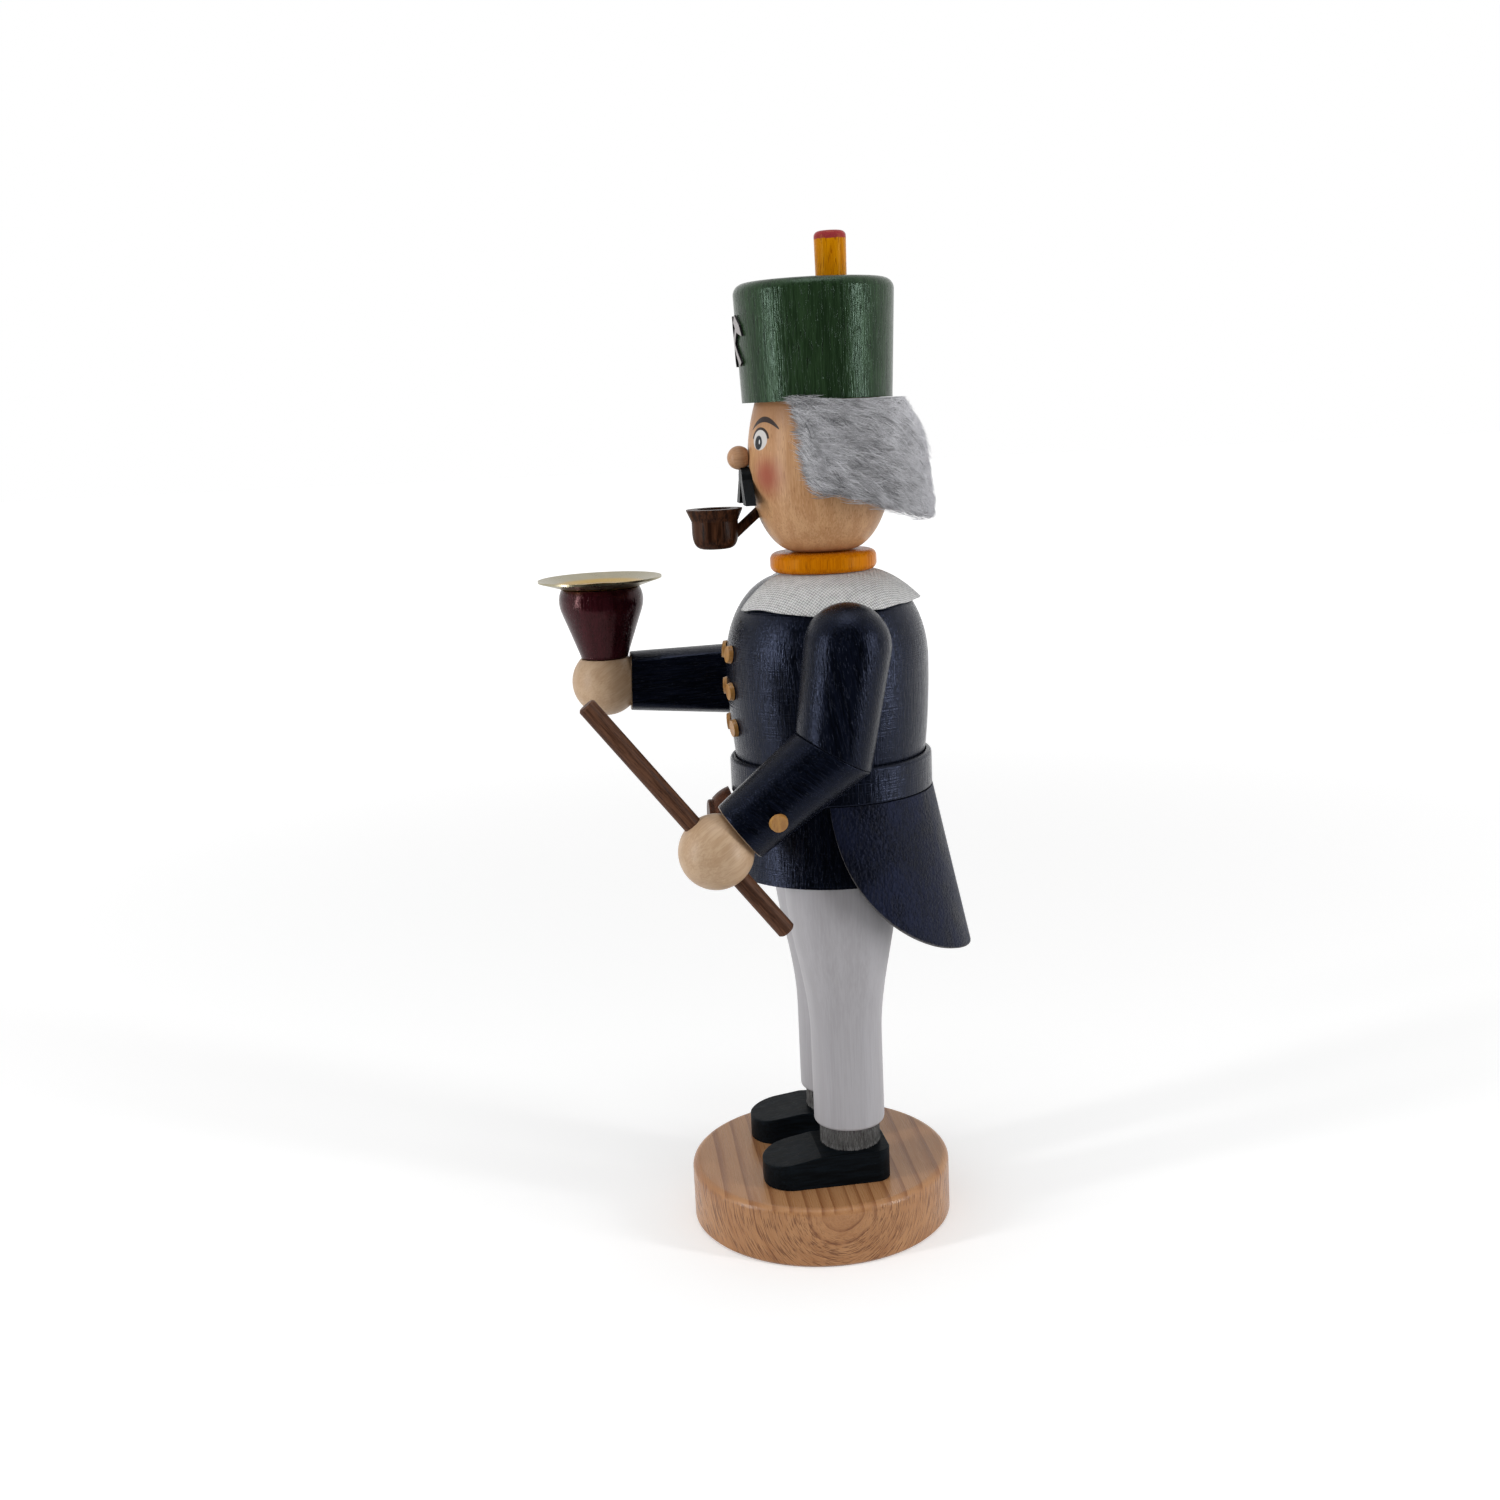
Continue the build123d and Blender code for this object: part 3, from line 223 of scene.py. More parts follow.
def woodFinish(name, look, turn=(0, 0, 0), shift=(0, 0, 0)):
    # stained wood: fine fibres, broad streaks and short pores along the grain, lathe lines across it
    sockets = {"Specular IOR Level": look["sheen"], "Specular Tint": (*look.get("glow", (1, 1, 1)), 1.0)}
    material, tree, shader = newFinish(name, sockets)
    place = placeOf(tree, turn, shift)
    run = look.get("run", timber["run"])
    fibre = speckle(place, (look["fibre"], look["fibre"], look["fibre"] * run))
    streak = speckle(place, (look["streak"], look["streak"], look["streak"] * timber["streakRun"]))
    pore = fade(speckle(place, timber["poreCell"], 1.0), *timber["poreSpan"])
    both = plus(times(fibre, 0.5), times(streak, 0.5))
    tone = tint(fade(both, *timber["toneSpan"]), look["dark"], look["light"])
    tone = tint(times(pore, look["pores"]), tone, look["poreTone"])
    repaint(shader, tone)
    gloss = (look["gloss"] - timber["glossSpread"], look["gloss"] + timber["glossSpread"])
    roughen(shader, fibre, gloss)
    height = minus(fibre, times(pore, timber["poreDepth"]))
    if look.get("lathe"):
        steps = {0: place, 1: (0, 0, 1 / timber["latheStep"])}
        upward = put(tree, "VectorMath", steps, operation="MULTIPLY").outputs[0]
        ring = put(tree, "TexNoise", {"Vector": upward, "Scale": 1.0, "Detail": 1.0}).outputs[0]
        height = plus(height, times(ring, look["lathe"]))
    relief(shader, height, look["depth"])
    return material, tree, shader, tone


def stain(name, look, *nodeNames, **lie):
    paint(woodFinish(name, look, **lie)[0], *nodeNames)


# Coat, hat, trousers and the other stained pieces

navyLook = {"dark": (0.0009, 0.0014, 0.0028), "light": (0.0031, 0.0043, 0.0095), "fibre": 0.42,
            "streak": 2.2, "pores": 0.6, "poreTone": (0.0006, 0.0007, 0.001), "gloss": 0.20, "sheen": 0.23,
            "depth": 0.12, "glow": (0.50, 0.60, 1.0), "lathe": 0.9}
stain("coat_navy", navyLook, "torso_shell", "belt_ring", "hip_block")
sleeveLook = dict(navyLook, lathe=0, gloss=0.21, sheen=0.15, depth=0.11)

hatLook = {"dark": (0.009, 0.021, 0.008), "light": (0.021, 0.045, 0.018), "fibre": 0.42, "streak": 2.0,
           "pores": 0.8, "poreTone": (0.003, 0.006, 0.002), "gloss": 0.21, "sheen": 0.22, "depth": 0.09,
           "run": 18, "glow": (0.68, 1.0, 0.80)}
stain("hat_green", hatLook, "hat")

trouserLook = {"dark": (0.345, 0.332, 0.345), "light": (0.392, 0.380, 0.396), "fibre": 0.5, "streak": 3.5,
               "pores": 0.15, "poreTone": (0.33, 0.31, 0.30), "gloss": 0.45, "sheen": 0.6,
               "depth": 0.012, "run": 26, "glow": (0.86, 0.90, 1.0)}
stain("trouser_white", trouserLook, "left_leg", "right_leg")

ringLook = {"dark": (0.45, 0.125, 0.0006), "light": (0.57, 0.180, 0.0010), "fibre": 0.4, "streak": 2.4,
            "pores": 0.6, "poreTone": (0.27, 0.07, 0.001), "gloss": 0.28, "sheen": 0.12, "depth": 0.03,
            "glow": (1.0, 0.66, 0.10)}
stain("ring_yellow", ringLook, "neck_ring")

plumeLook = dict(ringLook, pores=0.85, light=(0.60, 0.235, 0.0010), dark=(0.47, 0.155, 0.0006),
                 glow=(1.0, 0.75, 0.1))
plumeTop = {"tone": (0.30, 0.035, 0.042), "level": 275.1, "soft": 0.25, "cell": 1.2, "wobble": 0.6}
plumeYellow, tree, shader, tone = woodFinish("plume_yellow", plumeLook)
upAxis = split(placeOf(tree))[2]
wobble = times(speckle(placeOf(tree), (plumeTop["cell"],) * 3), plumeTop["wobble"])
dipped = fade(plus(upAxis, wobble), plumeTop["level"], plumeTop["level"] + plumeTop["soft"])
repaint(shader, tint(dipped, tone, plumeTop["tone"]))
paint(plumeYellow, "plume")

pipeLook = {"dark": (0.014, 0.0045, 0.002), "light": (0.062, 0.023, 0.010), "fibre": 0.45, "streak": 1.2,
            "pores": 0.8, "poreTone": (0.006, 0.003, 0.002), "gloss": 0.36, "sheen": 0.07, "depth": 0.05}
stain("pipe_brown", pipeLook, "pipe_bowl", "pipe_stem")

pouchLook = dict(pipeLook, dark=(0.035, 0.012, 0.006), light=(0.085, 0.032, 0.016))
stain("pouch_brown", pouchLook, "belt_pouch", "pouch_button")

cupLook = {"dark": (0.014, 0.0015, 0.0026), "light": (0.033, 0.0045, 0.0078), "fibre": 0.4, "streak": 1.8,
           "pores": 0.6, "poreTone": (0.008, 0.002, 0.002), "gloss": 0.17, "sheen": 0.27, "depth": 0.04,
           "glow": (1.0, 0.48, 0.50)}
stain("cup_burgundy", cupLook, "candle_cup")

handLook = {"dark": (0.43, 0.282, 0.168), "light": (0.52, 0.364, 0.232), "fibre": 0.5, "streak": 2.9,
            "pores": 0.22, "poreTone": (0.30, 0.18, 0.10), "gloss": 0.42, "sheen": 0.35,
            "depth": 0.02, "run": 20}
handLean = (math.radians(58), math.radians(20), 0)
handShift = (3, 9, 0)
stain("hand_maple", handLook, "left_hand", "right_hand", turn=handLean, shift=handShift)
stain("dowel_beech", handLook, "shoulder_dowels", "elbow_dowels")

stickLook = {"dark": (0.046, 0.018, 0.009), "light": (0.118, 0.053, 0.029), "fibre": 0.35, "streak": 1.4,
             "pores": 0.6, "poreTone": (0.022, 0.009, 0.005), "gloss": 0.5, "sheen": 0.12, "depth": 0.04}
stickLean = (math.radians(-37.4), 0, 0)
stain("stick_brown", stickLook, "stick", turn=stickLean)

blackLook = {"dark": (0.0030, 0.0036, 0.0042), "light": (0.0065, 0.008, 0.0095), "fibre": 0.45,
             "streak": 2.0, "pores": 0.3, "poreTone": (0.0015, 0.0015, 0.002), "gloss": 0.42, "sheen": 0.09,
             "depth": 0.04, "glow": (0.75, 0.88, 1.0)}
stain("moustache_black", blackLook, "moustache")
lying = (math.pi / 2, 0, 0)  # grain from front to back
shoeLook = dict(blackLook, sheen=0.04, light=(0.0056, 0.0082, 0.0112))
shoeBlack = woodFinish("shoe_black", shoeLook, turn=lying)[0]

sockLook = {"dark": (0.075, 0.072, 0.070), "light": (0.19, 0.185, 0.18), "fibre": 0.3, "streak": 1.0,
            "pores": 0.3, "poreTone": (0.04, 0.04, 0.04), "gloss": 0.75, "sheen": 0.15, "depth": 0.08}
stain("sock_grey", sockLook, "left_ankle", "right_ankle")

goldLook = {"dark": (0.295, 0.130, 0.027), "light": (0.405, 0.202, 0.048), "fibre": 0.5, "streak": 1.2,
            "pores": 0.4, "poreTone": (0.20, 0.10, 0.03), "gloss": 0.38, "sheen": 0.5, "depth": 0.03}
stain("button_gold", goldLook, "coat_buttons", "cuff_buttons")
print("stained woods mixed")


# Stand: beech whose growth rings are cylinders along X about a pith near the top, seen end on at the side

stand = {"dark": (0.28, 0.112, 0.040), "light": (0.455, 0.232, 0.104), "line": (0.15, 0.050, 0.018),
         "fleck": (0.125, 0.043, 0.016), "pith": (0.0, -0.4, -16.4), "sheen": 0.32,
         "firstRing": 6.0, "ringStep": 3.3, "ringGrowth": 0.055, "bendCell": (80, 9, 7), "bend": 2.6,
         "sideSpan": (0.2, -1.0), "lateRise": (0.66, 0.92), "lateFall": (1.0, 0.95),
         "breakCell": (60, 4, 4), "breaks": (0.36, 0.54, 0.3, 1.0), "arcsOuter": (14.5, 10.5),
         "arcsInner": (3.6, 5.0), "arcShare": 0.7, "topShare": 0.26, "unroll": 20.0,
         "hairCell": (14, 0.45, 5.0), "fleckCell": (4.0, 0.29, 4.2), "fleckSpan": (0.53, 0.63),
         "fleckReach": (6.0, 11.0, 0.2, 1.0), "fleckShare": 0.72, "cloudCell": (40, 9, 9), "cloud": 0.5,
         "lateTone": (0.34, 0.06), "hairTone": (0.2, 0.5), "topTone": 0.05, "toneSpan": (0.3, 0.9),
         "gloss": (0.24, 0.38), "depth": 0.025}
standBeech, tree, shader = newFinish("stand_beech", {"Specular IOR Level": stand["sheen"]})
place = placeOf(tree, shift=stand["pith"])
axes = split(place)
reach = spanOf(axes[1], axes[2])
about = calc("ARCTAN2", axes[1], times(axes[2], -1.0))
bend = minus(speckle(place, stand["bendCell"], 1.0), 0.5)
wavy = plus(reach, times(bend, stand["bend"]))
ringStep = plus(times(wavy, stand["ringGrowth"]), stand["ringStep"])  # wider further out
ringCount = calc("DIVIDE", minus(wavy, stand["firstRing"]), ringStep)
cycle = calc("FRACT", ringCount)
onSide = fade(axes[2], *stand["sideSpan"])
onTop = minus(1.0, onSide)
lateLine = times(fade(cycle, *stand["lateRise"]), fade(cycle, *stand["lateFall"]))
broken = fade(speckle(place, stand["breakCell"]), *stand["breaks"])
arcs = times(fade(reach, *stand["arcsOuter"]), fade(reach, *stand["arcsInner"]))
sideShare = times(times(arcs, stand["arcShare"]), broken)
lineShare = plus(times(onSide, sideShare), times(onTop, stand["topShare"]))
lateLine = times(lateLine, lineShare)
spots = {0: axes[0], 1: reach, 2: times(about, stand["unroll"])}
unrolled = put(tree, "CombineXYZ", spots).outputs[0]
hair = speckle(unrolled, stand["hairCell"])
fleck = fade(speckle(unrolled, stand["fleckCell"], 1.0), *stand["fleckSpan"])
fleck = times(fleck, times(onSide, fade(reach, *stand["fleckReach"])))
cloud = speckle(place, stand["cloudCell"])
late = times(cycle, times(cycle, fade(onSide, 0, 1, *stand["lateTone"])))
mixed = plus(late, times(hair, fade(onSide, 0, 1, *stand["hairTone"])))
mixed = plus(mixed, times(cloud, stand["cloud"]))
mixed = plus(mixed, times(onTop, stand["topTone"]))
tone = tint(fade(mixed, *stand["toneSpan"]), stand["light"], stand["dark"])
tone = tint(lateLine, tone, stand["line"])
tone = tint(times(fleck, stand["fleckShare"]), tone, stand["fleck"])
repaint(shader, tone)
roughen(shader, hair, stand["gloss"])
relief(shader, minus(times(hair, 0.5), fleck), stand["depth"])
paint(standBeech, "base_disc")


# Head: lacquered wood with painted brows, eyes and cheeks, and a painted shadow under the hat

skinLook = {"dark": (0.44, 0.228, 0.105), "light": (0.555, 0.320, 0.162), "fibre": 0.42, "streak": 2.6,
            "pores": 0.55, "poreTone": (0.29, 0.138, 0.062), "gloss": 0.36, "sheen": 0.21, "depth": 0.02}
# shade is the painted shadow under the hat: from and to which height, and how dark
face = {"radius": 19.5, "eyeAt": (8.9, 223.8), "eyeSize": (3.3, 2.65), "white": (0.60, 0.58, 0.56),
        "iris": ((8.35, 223.1), (1.75, 1.85), (0.007, 0.011, 0.016)),
        "pupil": ((8.35, 223.1), (0.95, 1.15), (0.004, 0.004, 0.005)),
        "glint": ((8.85, 223.3), (0.28, 0.6), (0.7, 0.7, 0.7)), "lidSize": (3.65, 2.95),
        "lidLow": (223.9, 224.3), "line": (0.41, 0.28), "brown": (0.022, 0.011, 0.008),
        "browAt": (10.2, 229.1), "browBend": 0.070, "browHalf": 6.2, "browThick": 0.74,
        "blushAt": (11.6, 214.4), "blush": (7.5, 7.6), "blushTone": (0.29, 0.050, 0.027),
        "blushFade": (1.05, 0.1, 0.0, 0.85), "shade": (222.0, 233.0, 0.0, 0.78),
        "eyeRim": (1.03, 0.97), "spotRim": (1.08, 0.92), "browRim": (0.06, -0.06),
        "browEnd": (0.0, 0.05)}
headSkin, tree, shader, tone = woodFinish("head_skin", skinLook)
axes = split(placeOf(tree, shift=(0, -figureY, 0)))
side = calc("ABSOLUTE", axes[0])
ahead = times(axes[1], -1.0)
arc = times(calc("ARCTAN2", side, ahead), face["radius"])  # mm from the middle
level = axes[2]


def ovalReach(at, size):
    # 1 on an oval's rim, measured in millimetres round the face and up it
    across = calc("DIVIDE", minus(arc, at[0]), size[0])
    upward = calc("DIVIDE", minus(level, at[1]), size[1])
    return calc("SQRT", plus(times(across, across), times(upward, upward)))


shade = fade(level, *face["shade"])
tone = tint(shade, tone, skinLook["poreTone"])  # painted shadow of the hat: the skin darkens towards the top of the face
cheek = fade(ovalReach(face["blushAt"], face["blush"]), *face["blushFade"])
tone = tint(cheek, tone, face["blushTone"])
eye = fade(ovalReach(face["eyeAt"], face["eyeSize"]), *face["eyeRim"])
tone = tint(eye, tone, face["white"])
for key in ("iris", "pupil", "glint"):
    at, size, colour = face[key]
    spot = fade(ovalReach(at, size), *face["spotRim"])
    tone = tint(times(spot, eye), tone, colour)
lidReach = ovalReach(face["eyeAt"], face["lidSize"])
lidGap = times(calc("ABSOLUTE", minus(lidReach, 1.0)), face["lidSize"][1])
lid = times(fade(lidGap, *face["line"]), fade(level, *face["lidLow"]))
tone = tint(lid, tone, face["brown"])
along = minus(arc, face["browAt"][0])
squared = times(along, along)
browLevel = minus(face["browAt"][1], times(squared, face["browBend"]))
browGap = calc("ABSOLUTE", minus(level, browLevel))
taper = minus(1.0, calc("DIVIDE", squared, face["browHalf"] ** 2))
thick = times(calc("SQRT", calc("MAXIMUM", taper, 0.0)), face["browThick"])
brow = fade(minus(browGap, thick), *face["browRim"])
brow = times(brow, fade(taper, *face["browEnd"]))
tone = tint(brow, tone, face["brown"])
repaint(shader, tone)
paint(headSkin, "head")
noseLook = dict(skinLook, dark=(0.38, 0.205, 0.108), light=(0.47, 0.268, 0.148))
stain("nose_skin", noseLook, "nose", turn=lying)
print("stand and face painted")


# Metal: pressed brass, tin and the stamped emblem

brassLook = {"tone": (0.35, 0.315, 0.22), "gold": (0.44, 0.29, 0.075), "worn": (0.31, 0.28, 0.19),
             "gloss": (0.27, 0.35), "smear": 3.5, "turning": 5.0, "depth": 0.03,
             "axisFoot": (-34.5, -52.9, 162.36), "goldTo": (14.0, 12.0)}
brass, tree, shader = newFinish("brass", {"Metallic": 1.0})
place = placeOf(tree, shift=tuple(-c for c in brassLook["axisFoot"]))
axes = split(place)
reach = spanOf(axes[0], axes[1])
spots = {"Vector": put(tree, "CombineXYZ", {0: reach}).outputs[0], "Scale": brassLook["turning"]}
turned = put(tree, "TexNoise", spots).outputs[0]
smear = speckle(place, (brassLook["smear"],) * 3)
tone = tint(fade(smear, *noiseSpan), brassLook["worn"], brassLook["tone"])
tone = tint(fade(reach, *brassLook["goldTo"]), tone, brassLook["gold"])
repaint(shader, tone)
roughen(shader, smear, brassLook["gloss"])
relief(shader, turned, brassLook["depth"])
paint(brass, "candle_socket")

tinLook = {"worn": (0.42, 0.41, 0.39), "tone": (0.58, 0.57, 0.55), "gloss": (0.28, 0.5), "smear": 2.5}
tin, tree, shader = newFinish("tin", {"Metallic": 1.0})
smear = speckle(placeOf(tree), (tinLook["smear"],) * 3)
repaint(shader, tint(fade(smear, *noiseSpan), tinLook["worn"], tinLook["tone"]))
roughen(shader, smear, tinLook["gloss"])
paint(tin, "incense_plate")

emblemLook = {"face": (0.36, 0.335, 0.335), "edge": (0.01, 0.01, 0.011), "hatFoot": 233.5,
              "hatRadius": 20.25, "flare": 1.3 / 30.9, "sheet": (0.6, 0.74), "cell": 0.5, "scuff": 0.12,
              "gloss": (0.3, 0.5)}
emblem, tree, shader = newFinish("emblem_metal", {"Metallic": 0.6, "Specular IOR Level": 0.4})
axes = split(placeOf(tree, shift=(0, -figureY, -emblemLook["hatFoot"])))
reach = spanOf(axes[0], axes[1])
hatFace = plus(times(axes[2], emblemLook["flare"]), emblemLook["hatRadius"])
lift = minus(reach, hatFace)
scuff = speckle(placeOf(tree), (emblemLook["cell"],) * 3)
front = fade(plus(lift, times(scuff, emblemLook["scuff"])), *emblemLook["sheet"])
repaint(shader, tint(front, emblemLook["edge"], emblemLook["face"]))
roughen(shader, scuff, emblemLook["gloss"])
paint(emblem, "hat_emblem")
print("metals done")


# Shoes: a rounded outline drawn up to a flat instep and a sloped toe cap, with softened edges

shoe = {"legX": 13.0, "legY": 7.0, "outset": 1.4, "width": 18.2, "length": 35.5, "heelBehind": 9.9,
        "floor": 17.0, "heel": 9.2, "toe": 6.5, "capStart": 10.3, "toeRound": 8.2, "heelRound": 4.5,
        "edge": 0.35, "sole": 0.4, "inner": 4.0, "splay": {"left": 2.0, "right": -5.0}}


def shoeOutline(inset, steps=18):
    # rounded rectangle: four quarter arcs, each about its own corner's middle, drawn in by the inset,
    # with a point on both straight sides where the toe cap starts
    half = shoe["width"] / 2
    back = shoe["heelBehind"]
    frontEnd = back - shoe["length"]
    corners = ((half, back, shoe["heelRound"], 0), (-half, back, shoe["heelRound"], 90),
               (-half, frontEnd, shoe["toeRound"], 180), (half, frontEnd, shoe["toeRound"], 270))
    runs = []
    for x, y, radius, start in corners:
        turn = np.radians(start + np.linspace(0, 90, steps))
        inward = math.copysign(radius, y - (back + frontEnd) / 2)
        middle = np.array((x - math.copysign(radius, x), y - inward))
        runs.append(middle + (radius - inset) * np.stack([np.cos(turn), np.sin(turn)], -1))
    crease = np.array([(half - inset, -shoe["capStart"])])
    corner = np.concatenate([*runs[:2], crease * (-1, 1), *runs[2:], crease])
    following = np.roll(corner, -1, 0)
    sides = np.linspace(0, 1, 4, endpoint=False)
    run = corner[:, None] + (following - corner)[:, None] * sides[:, None]
    return run.reshape(-1, 2)


def shoeTop(y):
    # flat behind the crease, then a straight fall to the toe
    frontEnd = shoe["heelBehind"] - shoe["length"]
    fall = np.maximum(-shoe["capStart"] - y, 0)
    slope = (shoe["heel"] - shoe["toe"]) / (-shoe["capStart"] - frontEnd)
    return shoe["floor"] + shoe["heel"] - fall * slope


def shoeSurface():
    # rings of the outline from the sole's middle, up the wall, over the edge and in to the instep's spine
    spineLow = shoe["heelBehind"] - shoe["length"] + shoe["toeRound"]
    spineHigh = shoe["heelBehind"] - shoe["width"] / 2

    def toSpine(ring, share):
        spine = np.stack([0 * ring[:, 0], np.clip(ring[:, 1], spineLow, spineHigh)], -1)
        return ring + (spine - ring) * share

    def addRing(ring, level):
        rings.append(np.column_stack([ring, np.broadcast_to(level, len(ring))]))

    rings = []
    inner = shoeOutline(shoe["inner"])
    for share in np.linspace(1, 0, 4):
        addRing(toSpine(inner, share), shoe["floor"])
    for turn in np.radians(np.linspace(0, 90, 14)):
        ring = shoeOutline(shoe["sole"] * (1 - math.sin(turn)))
        addRing(ring, shoe["floor"] + shoe["sole"] * (1 - math.cos(turn)))
    wall = shoeOutline(0.0)
    roof = shoeTop(wall[:, 1]) - shoe["edge"]
    for share in np.linspace(0.1, 0.95, 10):
        low = shoe["floor"] + shoe["sole"]
        addRing(wall, low + (roof - low) * share)
    for turn in np.radians(np.linspace(0, 90, 14)):
        ring = shoeOutline(shoe["edge"] * (1 - math.cos(turn)))
        addRing(ring, shoeTop(wall[:, 1]) - shoe["edge"] * (1 - math.sin(turn)))
    for inset in np.linspace(shoe["edge"], shoe["inner"], 12)[1:]:
        ring = shoeOutline(inset)
        addRing(ring, shoeTop(ring[:, 1]))
    for share in np.linspace(0, 1, 18)[1:]:
        ring = toSpine(inner, share)
        addRing(ring, shoeTop(ring[:, 1]))
    return np.stack(rings)


shoeShape = shoeSurface()
for sideName, sign in handed.items():
    turn = math.radians(shoe["splay"][sideName])
    x, y, z = np.moveaxis(shoeShape, -1, 0)
    x = x + sign * shoe["outset"]
    spot = np.stack([math.cos(turn) * x - math.sin(turn) * y + sign * shoe["legX"],
                     math.sin(turn) * x + math.cos(turn) * y + shoe["legY"], z], -1)
    piece = putMesh(sideName + "_shoe_soft", spot, gridQuads(*spot.shape[:2], True), sharp=8)
    settle(piece, shoeBlack, "lower_figure", "black_paint", sideName + "_shoe")
print("shoes done")


# Arms: round rods, flat on the body's side, that meet on a mitre at the elbow

arm = {"top": 11.4, "radius": 10.4, "cuff": 8.7, "flat": 5.9, "axisX": 34.5, "edge": 0.45, "flatEdge": 0.9,
       "upperLength": 27.7, "foreLength": 32.1, "around": 144,
       "shoulder": (7.6, 171.2), "left": (9.7, -37.4), "right": (50.7, 2.5)}
rimLook = {"tone": (0.22, 0.15, 0.09), "cell": 1.0, "rough": 0.3, "wide": 0.18}


def rodSurface(start, along, rows, mitre, sign):
    # rings about the rod's line: each row is distance along, radius and how far it follows the slant of
    # the mitre; the body side is cut flat with a soft edge
    turn = np.linspace(0, 2 * np.pi, arm["around"], endpoint=False)
    upward = np.cross(along, (1.0, 0.0, 0.0))
    distance, radius, follow = (np.asarray(v, float)[:, None] for v in zip(*rows))
    out = radius * np.cos(turn)
    lift = radius * np.sin(turn)
    out = smoothMax(out, np.full_like(out, -arm["flat"]), arm["flatEdge"])
    slant = -lift * np.dot(upward, mitre) / np.dot(along, mitre)
    run = distance + follow * slant
    spot = start + run[..., None] * along + lift[..., None] * upward
    spot[..., 0] += sign * out
    return spot


def edgeRows(at, radius, follow, outward):
    # a small quarter round at a rod's end, closed to its middle
    turn = np.radians(np.linspace(0, 90, 6))
    back = arm["edge"] * (1 - np.sin(turn))
    rows = [(at - outward * b, radius - arm["edge"] * (1 - math.cos(t)), follow) for b, t in zip(back, turn)]
    inside = radius - arm["edge"]
    rows += [(at, inside * share, follow) for share in (0.75, 0.5, 0.25, 0.0)]
    return rows


for sideName, sign in handed.items():
    swing, rise = (math.radians(a) for a in arm[sideName])
    down = np.array((0.0, -math.sin(swing), -math.cos(swing)))
    fore = np.array((0.0, -math.cos(rise), math.sin(rise)))
    mitre = (down + fore) / np.linalg.norm(down + fore)
    shoulder = np.array((sign * arm["axisX"], *arm["shoulder"]))
    elbow = shoulder + arm["upperLength"] * down

    dome = [(-arm["top"] * math.cos(t), arm["top"] * math.sin(t), 0.0)
            for t in np.radians(np.linspace(0, 90, 28))]
    shaft = [(arm["upperLength"] * s, arm["top"] + (arm["radius"] - arm["top"]) * s, s)
             for s in np.linspace(0.05, 0.95, 16)]
    upperRows = dome + shaft + edgeRows(arm["upperLength"], arm["radius"], 1.0, 1)
    spot = rodSurface(shoulder, down, upperRows, mitre, sign)
    piece = putMesh(sideName + "_sleeve_upper", spot, gridQuads(*spot.shape[:2], True))
    lean = (-swing, 0, 0)
    grain = woodFinish(sideName + "_sleeve_upper_navy", sleeveLook, turn=lean)[0]
    settle(piece, grain, "upper_figure", "navy_stain", sideName + "_upper_arm")

    narrowing = (arm["cuff"] - arm["radius"]) / arm["foreLength"]
    elbowEnd = edgeRows(0.0, arm["radius"], 1.0, -1)[::-1]
    shaft = [(arm["foreLength"] * s, arm["radius"] + narrowing * arm["foreLength"] * s, 1 - s)
             for s in np.linspace(0.04, 0.97, 18)]
    foreRows = elbowEnd + shaft + edgeRows(arm["foreLength"], arm["cuff"], 0.0, 1)
    spot = rodSurface(elbow, fore, foreRows, mitre, sign)
    piece = putMesh(sideName + "_sleeve_fore", spot, gridQuads(*spot.shape[:2], True))
    lean = (-(math.pi / 2 + rise), 0, 0)
    grain, tree, shader, tone = woodFinish(sideName + "_sleeve_fore_navy", sleeveLook, turn=lean)
    fromElbow = placeOf(tree, shift=tuple(-c for c in elbow))
    run = put(tree, "VectorMath", {0: fromElbow, 1: tuple(fore)}, operation="DOT_PRODUCT").outputs[1]
    rough = times(speckle(placeOf(tree), (rimLook["cell"],) * 3), rimLook["rough"])
    rim = fade(plus(run, rough), arm["foreLength"] - rimLook["wide"], arm["foreLength"])
    repaint(shader, tint(rim, tone, rimLook["tone"]))
    settle(piece, grain, "upper_figure", "navy_stain", sideName + "_forearm")
print("arms done")


# Collar: a ring of cloth cut open at the throat, laid over the shoulders, its hem in shallow waves

collar = {"top": 187.2, "bulge": 163.0, "flat": 11.0, "wide": 17.0, "high": 24.2, "neck": 8.0, "lift": 0.42,
          "hem": 39.6, "openLeft": 13.5, "openRight": 40.0, "bow": 5.0, "cloth": 0.45, "thread": 0.78,
          "rows": 70, "columns": 360, "waves": ((1.3, 3, -1.0), (1.0, 7, 0.9), (0.6, 11, 0.0)),
          "waveTurn": 0.8, "ripple": (0.55, 5, 2.6), "fold": (1.1, 172, 16), "bias": 40, "slub": 0.5,
          "threadShade": 0.7, "slubShade": 0.4, "shadeSpan": (0.15, 0.95), "depth": 0.2,
          "dark": (0.25, 0.25, 0.252), "light": (0.78, 0.78, 0.775)}
along = np.linspace(0, 1, collar["columns"])
rowShare = np.linspace(0, 1, collar["rows"])[:, None]
bow = collar["bow"] * np.sin(np.pi * rowShare)
firstEdge = collar["openLeft"] + bow
lastEdge = 360 - collar["openRight"] - bow
azimuth = np.radians(firstEdge + (lastEdge - firstEdge) * along)
wave = sum(size * np.cos(count * azimuth + shift) for size, count, shift in collar["waves"])
hemSlope = collar["hem"] + collar["waveTurn"] * wave
slope = np.radians(90 + (hemSlope - 90) * rowShare)
size, count, shift = collar["ripple"]
standOff = size * (1 + np.cos(count * azimuth + shift)) * rowShare ** 3
size, at, wide = collar["fold"]
standOff = standOff + size * np.exp(-((np.degrees(azimuth) - at) / wide) ** 2) * rowShare ** 3
lift = collar["lift"] + standOff
outX = collar["wide"] * np.cos(slope)
outZ = collar["high"] * np.sin(slope)
